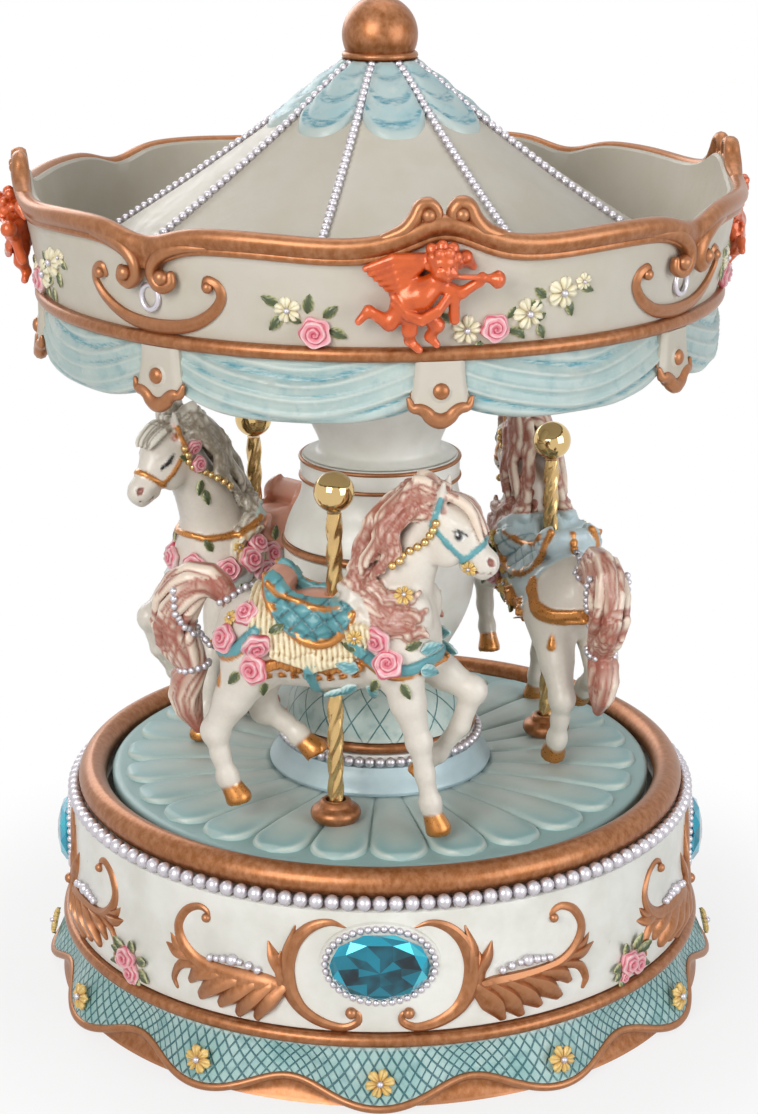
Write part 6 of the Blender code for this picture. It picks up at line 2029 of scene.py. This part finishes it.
class MUSICBOX_OT_crown(bpy.types.Operator):
    """Shapes the crown wall, its gold band and the scrolled rail"""
    bl_idname = "music_box.crown"
    bl_label = "Crown"

    def execute(self, context):
        make_crown()
        return {"FINISHED"}


class MUSICBOX_OT_crown_ornaments(bpy.types.Operator):
    """Lays the smiles, the rings and the garlands on the crown"""
    bl_idname = "music_box.crown_ornaments"
    bl_label = "Crown ornaments"

    def execute(self, context):
        make_crown_ornaments()
        return {"FINISHED"}


class MUSICBOX_OT_roof(bpy.types.Operator):
    """Makes the roof with its petals, pearl strings and finial"""
    bl_idname = "music_box.roof"
    bl_label = "Roof"

    def execute(self, context):
        make_roof()
        return {"FINISHED"}


class MUSICBOX_OT_poles(bpy.types.Operator):
    """Twists the brass poles and sets their balls and collars"""
    bl_idname = "music_box.poles"
    bl_label = "Poles"

    def execute(self, context):
        make_poles()
        return {"FINISHED"}


class MUSICBOX_OT_horses(bpy.types.Operator):
    """Models the three horses with their tack, roses and bead strings"""
    bl_idname = "music_box.horses"
    bl_label = "Horses"

    def execute(self, context):
        make_horses()
        return {"FINISHED"}


class MUSICBOX_OT_cherubs(bpy.types.Operator):
    """Models the flying cherub and sets one under every peak"""
    bl_idname = "music_box.cherubs"
    bl_label = "Cherubs"

    def execute(self, context):
        make_cherubs()
        return {"FINISHED"}


class MUSICBOX_OT_movement(bpy.types.Operator):
    """Finishes the pieces inside and underneath"""
    bl_idname = "music_box.movement"
    bl_label = "Movement"

    def execute(self, context):
        dress_movement()
        return {"FINISHED"}


class MUSICBOX_OT_stage(bpy.types.Operator):
    """Sets up the floor, the lamps and the camera"""
    bl_idname = "music_box.stage"
    bl_label = "Stage"

    def execute(self, context):
        make_stage()
        return {"FINISHED"}


BUILD_STEPS = (MUSICBOX_OT_finishes, MUSICBOX_OT_drum, MUSICBOX_OT_skirt, MUSICBOX_OT_rim_pearls,
    MUSICBOX_OT_gems, MUSICBOX_OT_scrolls, MUSICBOX_OT_drum_flowers, MUSICBOX_OT_turntable,
    MUSICBOX_OT_column, MUSICBOX_OT_swags, MUSICBOX_OT_crown, MUSICBOX_OT_crown_ornaments, MUSICBOX_OT_roof,
    MUSICBOX_OT_poles, MUSICBOX_OT_horses, MUSICBOX_OT_cherubs, MUSICBOX_OT_movement, MUSICBOX_OT_stage)


class MUSICBOX_PT_panel(bpy.types.Panel):
    """Lists the build steps, the sizes and the colours"""
    bl_label = "Music Box"
    bl_idname = "MUSICBOX_PT_panel"
    bl_space_type = "VIEW_3D"
    bl_region_type = "UI"
    bl_category = "Music Box"

    def draw(self, context):
        column = self.layout.column(align=True)
        for step in BUILD_STEPS:
            column.operator(step.bl_idname)
        for group in (context.scene.music_box_sizes, context.scene.music_box_colours):
            box = self.layout.box()
            for name in group.__annotations__:
                box.prop(group, name)


CLASSES = (MusicBoxSizes, MusicBoxColours) + BUILD_STEPS + (MUSICBOX_PT_panel,)


def register():
    for cls in CLASSES:
        bpy.utils.register_class(cls)
    bpy.types.Scene.music_box_sizes = bpy.props.PointerProperty(type=MusicBoxSizes)
    bpy.types.Scene.music_box_colours = bpy.props.PointerProperty(type=MusicBoxColours)


def unregister():
    del bpy.types.Scene.music_box_colours
    del bpy.types.Scene.music_box_sizes
    for cls in reversed(CLASSES):
        bpy.utils.unregister_class(cls)


def main():
    register()
    for step in BUILD_STEPS:
        getattr(bpy.ops.music_box, step.bl_idname.split(".")[1])()


if __name__ == "__main__":
    main()
